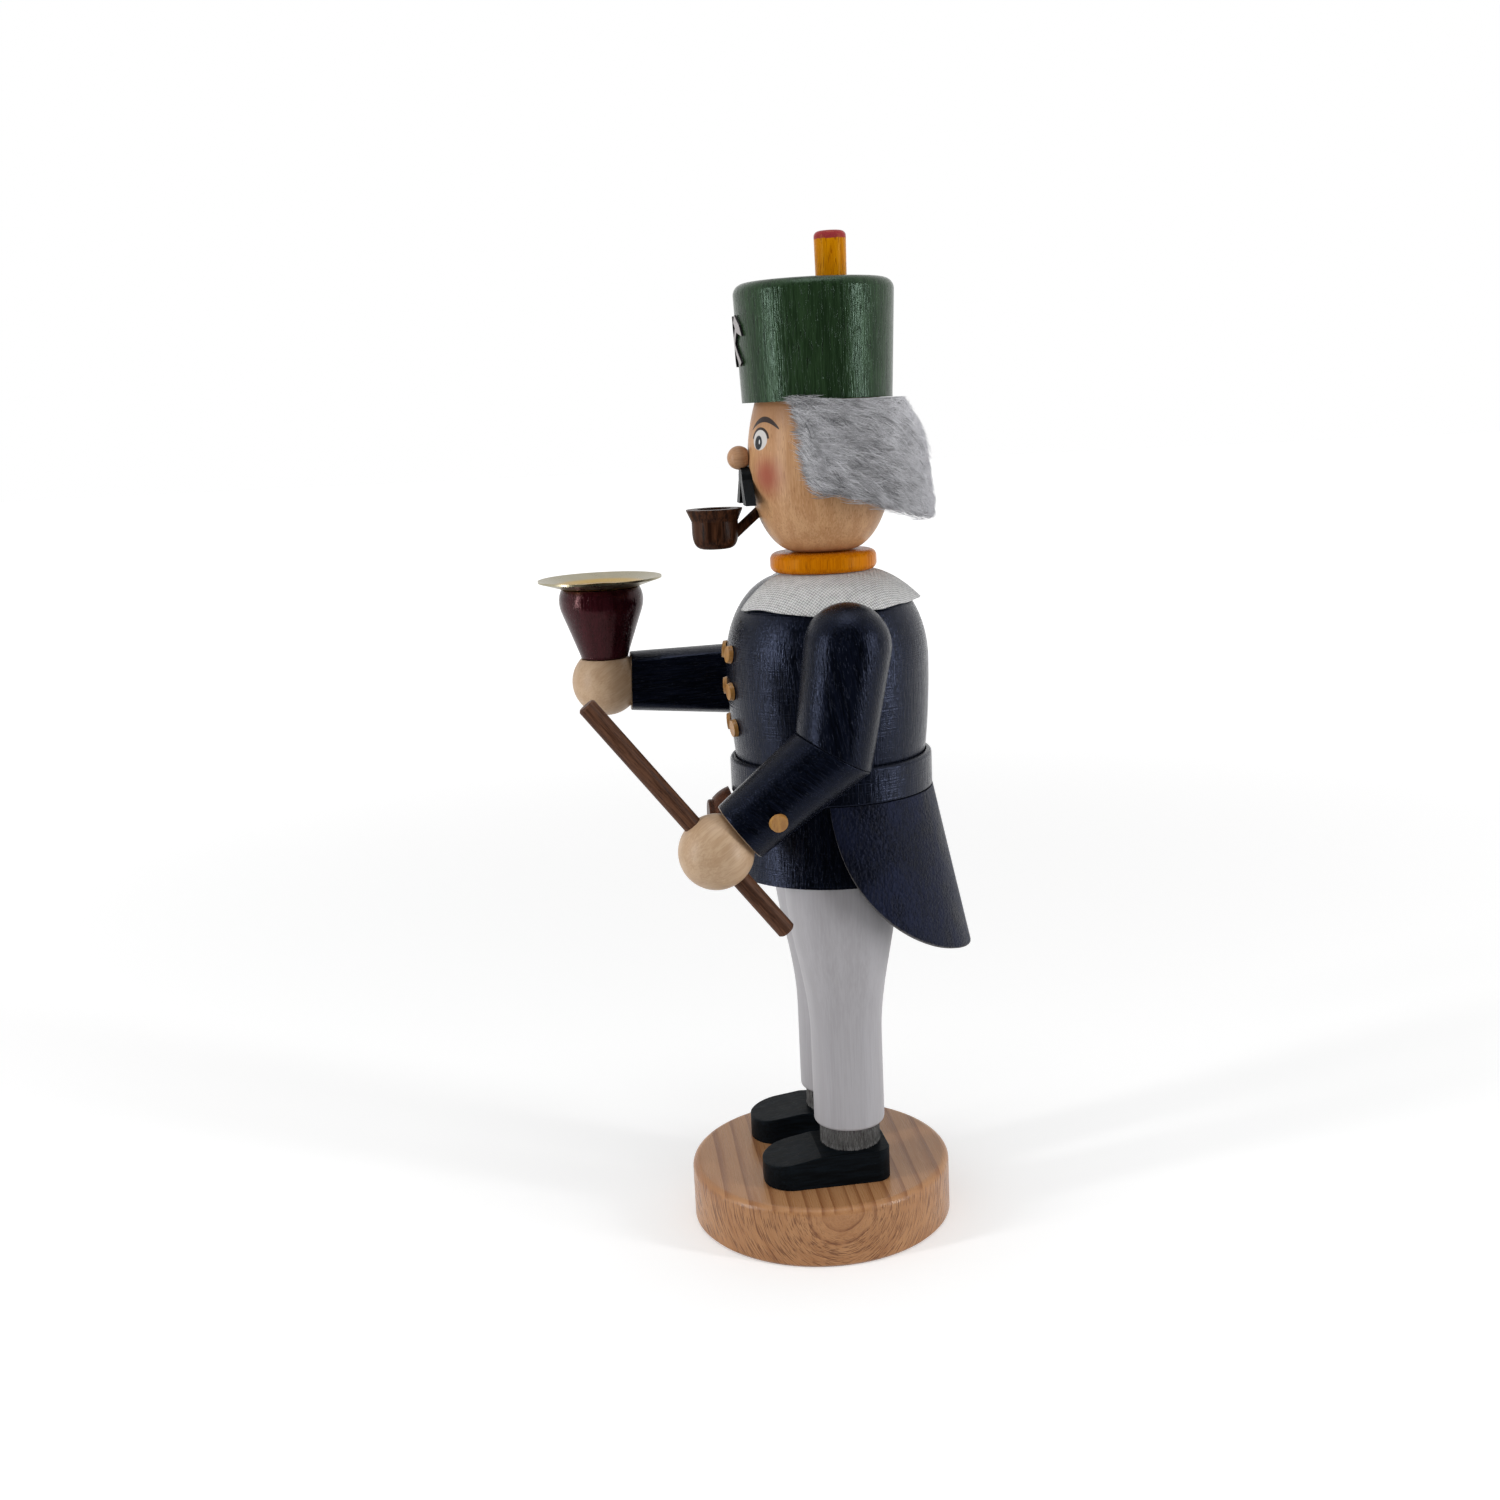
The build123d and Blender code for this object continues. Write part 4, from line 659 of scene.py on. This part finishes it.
steep = np.hypot(np.cos(slope) / collar["wide"], np.sin(slope) / collar["high"])
radius = collar["flat"] + outX + lift * np.cos(slope) / collar["wide"] / steep
height = collar["bulge"] + outZ + lift * np.sin(slope) / collar["high"] / steep
neckRows = np.linspace(collar["neck"], collar["flat"], 4)[:-1, None] + 0 * azimuth[:1]
radius = np.concatenate([neckRows, radius])
height = np.concatenate([0 * neckRows + collar["top"] + collar["lift"], height])
azimuth = np.concatenate([0 * neckRows + azimuth[:1], azimuth])
cape = np.stack([radius * np.sin(azimuth), figureY - radius * np.cos(azimuth), height], -1)
runDown = np.linalg.norm(np.diff(cape, axis=0), axis=-1)
runDown = np.concatenate([0 * runDown[:1], np.cumsum(runDown, 0)]) + collar["neck"]
weaveAt = np.stack([runDown * np.sin(azimuth), runDown * np.cos(azimuth)], -1)  # millimetres on the flat cut
collarPiece = putMesh("collar_weave", cape, gridQuads(*cape.shape[:2], False), sharp=60, flat=weaveAt)
thicken(collarPiece, collar["cloth"])

linen, tree, shader = newFinish("collar_linen", {"Roughness": 0.85, "Specular IOR Level": 0.2,
                                                 "Sheen Weight": 0.15})
pitch = collar["thread"]
uv = put(tree, "TexCoord").outputs["UV"]
slub = put(tree, "TexNoise", {"Vector": uv, "Scale": collar["slub"]}, noise_dimensions="2D").outputs[0]
bias = (0, 0, math.radians(collar["bias"]))
onBias = put(tree, "Mapping", {"Vector": uv, "Rotation": bias}).outputs[0]
axes = split(onBias)
warp = calc("DIVIDE", axes[0], pitch)
weft = calc("DIVIDE", axes[1], pitch)
over = calc("MODULO", plus(calc("FLOOR", warp), calc("FLOOR", weft)), 2.0)
over = calc("ABSOLUTE", over)
crown = [calc("ABSOLUTE", calc("SINE", times(t, math.pi))) for t in (warp, weft)]
thread = plus(times(crown[0], minus(1.0, over)), times(crown[1], over))
shade = plus(times(thread, collar["threadShade"]), times(slub, collar["slubShade"]))
repaint(shader, tint(fade(shade, *collar["shadeSpan"]), collar["dark"], collar["light"]))
relief(shader, thread, collar["depth"])
settle(collarPiece, linen, "upper_figure", "white_cloth", "collar_cloth")


# Back apron: half a disc of leather on a flared cone, its lower edge a curve seen from the side

apron = {"top": 127.2, "inner": 26.9, "leather": 1.3, "flare": math.radians(11.5), "drop": 46.5,
         "start": 2.6, "lean": 0.05, "fall": 0.32, "edgePull": 0.97, "hemPull": 1.5,
         "columns": 120, "rows": 60, "sheen": 0.13, "glow": (0.50, 0.58, 1.0, 1.0),
         "dark": (0.0022, 0.0030, 0.0066), "light": (0.0072, 0.0094, 0.0225),
         "crack": (0.02, 0.021, 0.026), "worn": (0.10, 0.095, 0.09), "clear": 0.1,
         "sag": 0.25, "sagTurn": 4, "sagShift": 0.6, "sagPower": 1.5, "round": 0.3, "roundFrom": 50,
         "pebble": 1.1, "fine": 2.6, "fineDepth": -0.4, "crackCell": (0.5, 0.5, 7.0),
         "crackSpan": (0.55, 0.64), "crackDepth": 1.2, "crackShare": 0.35, "patchCell": (9, 9, 14),
         "raggedCell": 0.8, "ragged": 0.5, "wornSpan": (0.75, 0.3), "wornShare": 0.8,
         "gloss": (0.36, 0.5), "depth": 0.22}
middleRadius = apron["inner"] + apron["clear"] + apron["leather"] / 2
slopeOut = math.tan(apron["flare"])
cornerTop = np.array((apron["start"], apron["top"]))
tip = np.array((figureY + middleRadius + apron["drop"] * slopeOut, apron["top"] - apron["drop"]))
chord = np.linalg.norm(tip - cornerTop)
startPull = np.array((apron["lean"], -1.0)) / math.hypot(apron["lean"], 1) * apron["edgePull"] * chord
endPull = np.array((1.0, -apron["fall"])) / math.hypot(1, apron["fall"]) * apron["hemPull"] * chord
t = np.linspace(0, 1, apron["columns"])[:, None]  # a cubic from the front corner to the tip
edgeLine = ((2 * t ** 3 - 3 * t ** 2 + 1) * cornerTop + (t ** 3 - 2 * t ** 2 + t) * startPull
            + (3 * t ** 2 - 2 * t ** 3) * tip + (t ** 3 - t ** 2) * endPull)
coneAt = middleRadius + (apron["top"] - edgeLine[:, 1]) * slopeOut
fromBack = np.arccos(np.clip((edgeLine[:, 0] - figureY) / coneAt, -1, 1))
fromBack = np.concatenate([fromBack, -fromBack[-2::-1]])
lowLevel = np.concatenate([edgeLine[:, 1], edgeLine[-2::-1, 1]])
rowShare = np.linspace(0, 1, apron["rows"])[:, None]
level = apron["top"] + (lowLevel - apron["top"]) * rowShare
below = (apron["top"] - level) / apron["drop"]
sag = apron["sag"] * np.sin(apron["sagTurn"] * fromBack + apron["sagShift"]) * below ** apron["sagPower"]
radius = middleRadius + (apron["top"] - level) * slopeOut + sag
hide = np.stack([radius * np.sin(fromBack), figureY + radius * np.cos(fromBack), level], -1)
edgeGap = np.linalg.norm(hide - hide[-1:], axis=-1)
apronPiece = putMesh("apron_leather", hide, gridQuads(*hide.shape[:2], False), sharp=50,
                     marks={"edgeGap": edgeGap})
thicken(apronPiece, apron["leather"])
soften = apronPiece.modifiers.new("soften", "BEVEL")
soften.width = apron["round"] * mm
soften.segments = 2
soften.limit_method = "ANGLE"
soften.angle_limit = math.radians(apron["roundFrom"])

leather, tree, shader = newFinish("apron_leather", {"Specular IOR Level": apron["sheen"],
                                                    "Specular Tint": apron["glow"]})
place = placeOf(tree)
pebble = put(tree, "TexVoronoi", {"Vector": place, "Scale": apron["pebble"]}).outputs["Distance"]
fine = put(tree, "TexVoronoi", {"Vector": place, "Scale": apron["fine"]}).outputs["Distance"]
crack = fade(speckle(place, apron["crackCell"]), *apron["crackSpan"])
patch = speckle(place, apron["patchCell"])
height = plus(times(pebble, -1.0), times(fine, apron["fineDepth"]))
height = minus(height, times(crack, apron["crackDepth"]))
tone = tint(fade(patch, *noiseSpan), apron["dark"], apron["light"])
tone = tint(times(crack, apron["crackShare"]), tone, apron["crack"])
gap = put(tree, "Attribute", attribute_name="edgeGap").outputs["Fac"]
ragged = times(speckle(place, (apron["raggedCell"],) * 3), apron["ragged"])
worn = fade(plus(gap, ragged), *apron["wornSpan"])
tone = tint(times(worn, apron["wornShare"]), tone, apron["worn"])
repaint(shader, tone)
roughen(shader, patch, apron["gloss"])
relief(shader, height, apron["depth"])
settle(apronPiece, leather, "lower_figure", "dark_leather", "back_apron")


# Fur: a grey under-layer round the back of the head, and strands combed backwards and down

fur = {"top": 232.9, "hat": 20.8, "strands": 8000, "guides": 520, "rings": 5, "spread": 1.2, "gather": 0.55,
       "front": ((200.0, 82.0), (210.0, 74.0), (211.9, 71.7), (215.2, 68.4), (221.0, 65.8), (227.1, 63.0),
                 (230.0, 59.0), (236.0, 58.0)),
       "low": ((58, 211.5), (72, 210.2), (77, 209.6), (92, 208.9), (102, 207.5), (111, 206.9), (122, 204.5),
               (128, 203.3), (145, 201.8), (180, 201.2)),
       "back": ((200.0, 29.0), (203.0, 29.7), (206.2, 29.7), (210.2, 29.0), (216.3, 28.5), (220.5, 28.1),
                (224.2, 27.2), (228.3, 25.4), (230.3, 24.2), (233.6, 22.4), (236.0, 20.8)),
       "side": ((200.0, 25.4), (208.0, 25.8), (216.0, 25.7), (226.0, 24.4), (233.4, 21.8), (236.0, 20.9)),
       "dark": (0.19, 0.19, 0.202), "light": (0.82, 0.82, 0.85), "feltDark": (0.17, 0.17, 0.18),
       "feltLight": (0.34, 0.34, 0.36), "feltCell": (0.6, 0.6, 1.4), "feltDepth": 0.4,
       "patchCell": (3.4, 4.5, 1.8), "strandShare": 0.75, "patchShare": 0.4, "toneSpan": (0.15, 0.95),
       "sideTo": 85, "thin": (-1, 26), "clear": 0.2}
headForm = {"neck": 6.8, "full": 19.5, "cheeks": 216.9, "chin": 23.7, "brow": 16.6, "draw": 2.6, "foot": 194}
layers = {"": {"length": (7.0, 12.0), "lift": 0.5, "thick": 0.085, "bright": 0.38},
          "_mid": {"length": (6.0, 12.0), "lift": 0.9, "thick": 0.06, "bright": 0.52},
          "_tips": {"length": (5.0, 11.0), "lift": 1.3, "thick": 0.048, "bright": 0.68}}


def headRadius(z):
    # the head's outline: an ellipse below the cheeks, a shallow arc above them
    below = (headForm["cheeks"] - z) / headForm["chin"]
    above = (z - headForm["cheeks"]) / headForm["brow"]
    low = headForm["neck"] + (headForm["full"] - headForm["neck"]) * np.sqrt(np.clip(1 - below ** 2, 0, 1))
    return np.where(below > 0, low, headForm["full"] - headForm["draw"] * above ** 2)


def furLine(key, at):
    return np.interp(at, *np.array(fur[key]).T)


def furRadius(azimuth, z):
    # the under-layer's outline: side and back profiles, blended round the head, thin at the front edge
    fold = 180 - np.abs(180 - azimuth % 360)
    flank = furLine("side", z)
    full = flank + (furLine("back", z) - flank) * smoothStep(fur["sideTo"], 180, fold)
    start = furLine("front", z)
    thinFrom, thinTo = fur["thin"]
    inside = headRadius(z) + fur["clear"]
    return inside + (full - inside) * smoothStep(start + thinFrom, start + thinTo, fold)


def furPoint(azimuth, z, radius):
    turn = np.radians(azimuth)
    return np.stack([radius * np.sin(turn), figureY - radius * np.cos(turn), z], -1)


under = {"columns": 121, "rows": 33, "lowFrom": 66, "fromTop": 0.4, "fromLow": 2.3, "end": 176, "sunk": 0.5,
         "clear": 0.15, "edgeSpan": (0.9, 1.0), "hem": 0.6, "hemSpan": (0.85, 1)}
share = np.linspace(-1, 1, under["columns"])
drop = np.linspace(0, 1, under["rows"])[:, None]
lowEdge = furLine("low", 180 - (180 - under["lowFrom"]) * np.abs(share)) + under["fromLow"]
high = fur["top"] - under["fromTop"]
level = high + (lowEdge - high) * drop
azimuth = 180 + (under["end"] - furLine("front", level)) * share
outer = furRadius(azimuth, level) - under["sunk"]
hug = headRadius(level) + under["clear"]
edgeThin = 1 - smoothStep(*under["edgeSpan"], np.abs(share))
outer = hug + (outer - hug) * edgeThin * (1 - under["hem"] * smoothStep(*under["hemSpan"], drop))
skin = np.concatenate([furPoint(azimuth, level, outer), furPoint(azimuth, level, hug)[::-1]])
skin = np.concatenate([skin, skin[:1]])
underFur = putMesh("fur_under", skin, gridQuads(*skin.shape[:2], False), sharp=80)
felt, tree, shader = newFinish("fur_under", {"Roughness": 0.9, "Specular IOR Level": 0.1})
place = placeOf(tree)
tuft = speckle(place, fur["feltCell"], 3.0)
repaint(shader, tint(fade(tuft, *noiseSpan), fur["feltDark"], fur["feltLight"]))
relief(shader, tuft, fur["feltDepth"])
settle(underFur, felt, "upper_figure", "grey_fur", "hair")


strand = {"offAxis": (0.31, 0.17, 0.93), "tiny": 1e-9, "swellPower": 0.7}


def strandMesh(name, paths, thick, shade):
    # three-sided spindles along their paths, pointed at both ends, thickest nearer the root
    count, rings = paths.shape[:2]
    tangent = np.gradient(paths, axis=1)
    tangent /= np.linalg.norm(tangent, axis=-1, keepdims=True) + strand["tiny"]
    side = np.cross(tangent, strand["offAxis"])
    side /= np.linalg.norm(side, axis=-1, keepdims=True) + strand["tiny"]
    other = np.cross(tangent, side)
    swell = np.sin(np.pi * np.linspace(0, 1, rings) ** strand["swellPower"])[:, None]
    turn = np.radians((0, 120, 240))
    ring = np.cos(turn)[:, None] * side[:, :, None] + np.sin(turn)[:, None] * other[:, :, None]
    spot = paths[:, :, None] + ring * (thick[:, None, None] * swell)[..., None]
    quads = gridQuads(rings, 3, True)
    quads = (quads[None] + (np.arange(count) * rings * 3)[:, None, None]).reshape(-1, 4)
    marks = np.repeat(shade, rings * 3)
    return putMesh(name, spot, quads, sharp=180, marks={"shade": marks})


comb = {"above": -0.03, "lowFrom": 60, "startSpread": (-0.8, 1.8), "end": 182, "shorten": 0.2,
        "dip": (17, 34, 1.6), "dipSpread": 9, "dipTop": 0.35, "dipFrom": 0.2, "curl": 0.35, "curlFrom": 0.3,
        "toneSpread": 0.2, "paintedRimLight": 0.5, "rimLightSpan": (0.35, 0.85), "toneFront": 0.06,
        "frontSpan": (0.05, 0.2), "run": (0.8, 1.1), "angleSpread": 0.05, "headRound": 26,
        "lockLow": (-0.9, 0.6), "strandLow": 0.3, "overTop": (0.4, 1.6), "overSpan": (0.25, 0.0),
        "looser": 0.8, "looserSpan": (0.6, 1.0), "liftPower": 1.4, "liftSpread": 0.25, "overHat": 0.8,
        "shadeSpread": 0.12, "thickSpread": (0.7, 1.3)}


def combed(count, sign, layer):
    # locks start on the under-layer and lie along it, the more downwards the further back they are; one that
    # would hang past the low edge starts higher up; its strands start round its root and draw together
    guides = fur["guides"]
    share = rng.random(guides)
    drop = rng.uniform(comb["above"], 1.0, guides)
    lowEdge = furLine("low", comb["lowFrom"] + (180 - comb["lowFrom"]) * share)
    z = fur["top"] + (lowEdge - fur["top"]) * drop
    start = furLine("front", z) + rng.normal(*comb["startSpread"], guides)
    azimuth = start + (comb["end"] - start) * share
    length = rng.uniform(*layer["length"], guides) * (1 - comb["shorten"] * share)
    least, more, power = comb["dip"]
    dip = np.radians(least + more * share ** power + rng.normal(0, comb["dipSpread"], guides))
    dip = dip * (comb["dipTop"] + (1 - comb["dipTop"]) * smoothStep(0.0, comb["dipFrom"], drop))
    curl = rng.normal(0, comb["curl"], guides)
    bright = rng.normal(layer["bright"], comb["toneSpread"], guides)
    # painted rim light: strands towards the back of the head are paler
    bright = bright + comb["paintedRimLight"] * smoothStep(*comb["rimLightSpan"], share)
    bright = np.clip(bright - comb["toneFront"] * smoothStep(*comb["frontSpan"], share), 0, 1)

    lock = np.arange(count) % guides
    t = np.linspace(0, 1, fur["rings"])
    run = (length[lock] * rng.uniform(*comb["run"], count))[:, None] * t
    angle = (dip[lock] + rng.normal(0, comb["angleSpread"], count))[:, None]
    angle = angle + curl[lock][:, None] * (t - comb["curlFrom"])
    loose = 1 - fur["gather"] * t
    z = z[lock][:, None] + rng.normal(0, fur["spread"], count)[:, None] * loose - run * np.sin(angle)
    aside = rng.normal(0, fur["spread"], count)[:, None] * loose + run * np.cos(angle)
    azimuth = azimuth[lock][:, None] + np.degrees(aside) / comb["headRound"]
    fold = 180 - np.abs(180 - azimuth[:, -1])
    lowest = furLine("low", fold) + rng.uniform(*comb["lockLow"], guides)[lock]
    lowest = lowest + rng.uniform(-comb["strandLow"], comb["strandLow"], count)
    z = z + np.maximum(lowest - z[:, -1], 0)[:, None]
    least, more = comb["overTop"]
    z = np.minimum(z, fur["top"] + (least + more * smoothStep(*comb["overSpan"], share))[lock][:, None])
    looser = 1 + comb["looser"] * smoothStep(*comb["looserSpan"], share)  # towards the back
    rise = rng.uniform(0.0, layer["lift"], guides) * looser
    lift = rng.uniform(-comb["liftSpread"], comb["liftSpread"], count)[:, None]
    radius = furRadius(azimuth, z) + rise[lock][:, None] * t ** comb["liftPower"] + lift
    radius = np.maximum(radius, headRadius(np.maximum(z, headForm["foot"])) + fur["clear"])
    overHat = fur["hat"] + rng.uniform(0.0, comb["overHat"], count)[:, None]
    radius = np.where(z > fur["top"], np.maximum(radius, overHat), radius)
    shade = np.clip(bright[lock] + rng.normal(0, comb["shadeSpread"], count), 0, 1)
    thick = layer["thick"] * rng.uniform(*comb["thickSpread"], count)
    return furPoint(sign * azimuth, z, radius), thick, shade


furGrey, tree, shader = newFinish("fur_grey", {"Roughness": 0.55, "Specular IOR Level": 0.25})
shadeMark = put(tree, "Attribute", attribute_name="shade").outputs["Fac"]
patch = speckle(placeOf(tree), fur["patchCell"])
blend = plus(times(shadeMark, fur["strandShare"]), times(patch, fur["patchShare"]))
repaint(shader, tint(fade(blend, *fur["toneSpan"]), fur["dark"], fur["light"]))
for sideName, sign in handed.items():
    for layerName, layer in layers.items():
        paths, thick, shade = combed(fur["strands"], sign, layer)
        piece = strandMesh("fur_" + sideName + layerName, paths, thick, shade)
        settle(piece, furGrey, "upper_figure", "grey_fur")
print("fur combed")


# Socks: short grey fibres that hang over the shoe's top

sock = {"radius": 8.1, "low": 26.2, "high": 32.6, "fibres": 2600, "rings": 5,
        "dark": (0.085, 0.082, 0.080), "light": (0.25, 0.245, 0.24), "tip": (0.40, 0.395, 0.39),
        "length": (1.5, 4.0), "tipTo": 0.2, "tipFrom": 1.5, "over": 0.4, "clear": 0.08,
        "skin": 0.02, "lift": (0.05, 0.6), "thick": (0.04, 0.075), "sway": 0.05, "liftPower": 1.3}
pileGrey, tree, shader = newFinish("sock_pile", {"Roughness": 0.8, "Specular IOR Level": 0.15})
shadeMark = put(tree, "Attribute", attribute_name="shade").outputs["Fac"]
level = split(placeOf(tree))[2]
tone = tint(shadeMark, sock["dark"], sock["light"])
atFoot = fade(level, sock["low"] + sock["tipFrom"], sock["low"] + sock["tipTo"])
tone = tint(times(atFoot, shadeMark), tone, sock["tip"])
repaint(shader, tone)
for sideName, sign in handed.items():
    count = sock["fibres"]
    turn = rng.uniform(0, 2 * np.pi, count)
    top = rng.uniform(sock["low"] + sock["tipFrom"], sock["high"] + sock["over"], count)
    length = rng.uniform(*sock["length"], count)
    t = np.linspace(0, 1, sock["rings"])
    z = np.maximum(top[:, None] - length[:, None] * t, sock["low"] + sock["clear"])
    out = sock["radius"] + sock["skin"] + rng.uniform(*sock["lift"], count)[:, None] * t ** sock["liftPower"]
    turn = turn[:, None] + rng.normal(0, sock["sway"], count)[:, None] * t
    paths = np.stack([sign * shoe["legX"] + out * np.cos(turn), shoe["legY"] + out * np.sin(turn), z], -1)
    thick = rng.uniform(*sock["thick"], count)
    piece = strandMesh(sideName + "_sock_pile", paths, thick, rng.random(count))
    settle(piece, pileGrey, "lower_figure", "grey_paint")
print("socks done")


# Stage: floor, lamps, world and camera

view = {"reach": 0.45842, "height": 0.23287, "down": 11.640, "aside": -1.874, "roll": -2.747, "turn": -8.0,
        "sensor": 36, "lens": 40.0992}
down, aside, roll, turn = (math.radians(view[k]) for k in ("down", "aside", "roll", "turn"))
ahead = Vector((-math.cos(down) * math.cos(aside), math.cos(down) * math.sin(aside), -math.sin(down)))
right = ahead.cross(Vector((0, 0, 1))).normalized()
up = right.cross(ahead)
tiltedRight = math.cos(roll) * right + math.sin(roll) * up
tiltedUp = math.cos(roll) * up - math.sin(roll) * right
about = Matrix.Rotation(turn, 3, "Z")
camera = bpy.data.objects.new("camera", bpy.data.cameras.new("camera"))
camera.data.lens = view["lens"]
camera.data.sensor_width = view["sensor"]
placing = Matrix([about @ v for v in (tiltedRight, tiltedUp, -ahead)]).transposed().to_4x4()
placing.translation = (view["reach"] * math.cos(turn), view["reach"] * math.sin(turn), view["height"])
camera.matrix_world = placing
bpy.context.scene.collection.objects.link(camera)
bpy.context.scene.camera = camera

floorLook = {"half": 6000, "front": 240, "tone": (0.80, 0.80, 0.80),
             "near": (160, 0.36), "far": (1400, 0.85)}
half, front = floorLook["half"], floorLook["front"]
corners = np.array([(-half, -half, 0), (front, -half, 0), (front, half, 0), (-half, half, 0)])
corners = corners @ np.array(about).T  # its front edge lies across the view, below the picture
floor = putMesh("floor", corners, np.array([[0, 1, 2, 3]]))
paleFloor, tree, shader = newFinish("floor_pale", {
    "Base Color": (*floorLook["tone"], 1.0), "Roughness": 0.9, "Specular IOR Level": 0.1,
    "Emission Color": (1, 1, 1, 1)})
ray = put(tree, "LightPath").outputs
seen = calc("MAXIMUM", ray["Is Glossy Ray"], ray["Is Transmission Ray"])
seen = calc("MAXIMUM", ray["Is Camera Ray"], seen)
fromMiddle = put(tree, "VectorMath", {0: placeOf(tree)}, operation="LENGTH").outputs[1]
(nearAt, nearLevel), (farAt, farLevel) = floorLook["near"], floorLook["far"]
lighten = fade(fromMiddle, nearAt, farAt, nearLevel, farLevel)  # more where the lamps are far
feed(shader, "Emission Strength", times(seen, lighten))
floor.data.materials.append(paleFloor)

world = bpy.data.worlds.new("studio")
bpy.context.scene.world = world
world.use_nodes = True
tree = world.node_tree
room = {"fill": 0.40, "dark": 0.04, "darkTo": 50, "lightFrom": 76}
towards = (math.cos(turn), math.sin(turn), 0.0)
direction = put(tree, "TexCoord").outputs["Generated"]
ahead = put(tree, "VectorMath", {0: direction, 1: towards}, operation="DOT_PRODUCT").outputs[1]
litFrom, darkTo = (math.cos(math.radians(room[key])) for key in ("lightFrom", "darkTo"))
mirrored = fade(ahead, litFrom, darkTo, 1.0, room["dark"])  # one side of the room is unlit
ray = put(tree, "LightPath").outputs
level = fade(ray["Is Glossy Ray"], 0.0, 1.0, room["fill"], mirrored)
seen = calc("MAXIMUM", ray["Is Camera Ray"], ray["Is Transmission Ray"])
background = tree.nodes["Background"]
background.inputs[0].default_value = (1, 1, 1, 1)
tree.links.new(fade(seen, 0.0, 1.0, level, 1.0), background.inputs[1])

lamps = {"left_strip": {"at": (-74, 0.85, 0.24), "size": (0.075, 0.75), "watts": 4.3},
         "right_strip": {"at": (58, 0.85, 0.24), "size": (0.075, 0.75), "watts": 4.3},
         "overhead": {"at": (-8, 0.10, 1.05), "size": (0.5, 0.5), "watts": 2.3}}
aimAt = Vector((0, 0, 0.15))
for name, lamp in lamps.items():
    turn, reach, high = lamp["at"]
    data = bpy.data.lights.new(name, "AREA")
    data.shape = "RECTANGLE"
    data.size, data.size_y = lamp["size"]
    data.energy = lamp["watts"]
    box = bpy.data.objects.new(name, data)
    spot = Vector((reach * math.cos(math.radians(turn)), reach * math.sin(math.radians(turn)), high))
    aim = (aimAt - spot).to_track_quat("-Z", "Y").to_matrix().to_4x4()
    box.matrix_world = Matrix.Translation(spot) @ aim
    box.visible_camera = False
    bpy.context.scene.collection.objects.link(box)

bpy.context.scene.view_settings.view_transform = "Standard"
print("stage set")
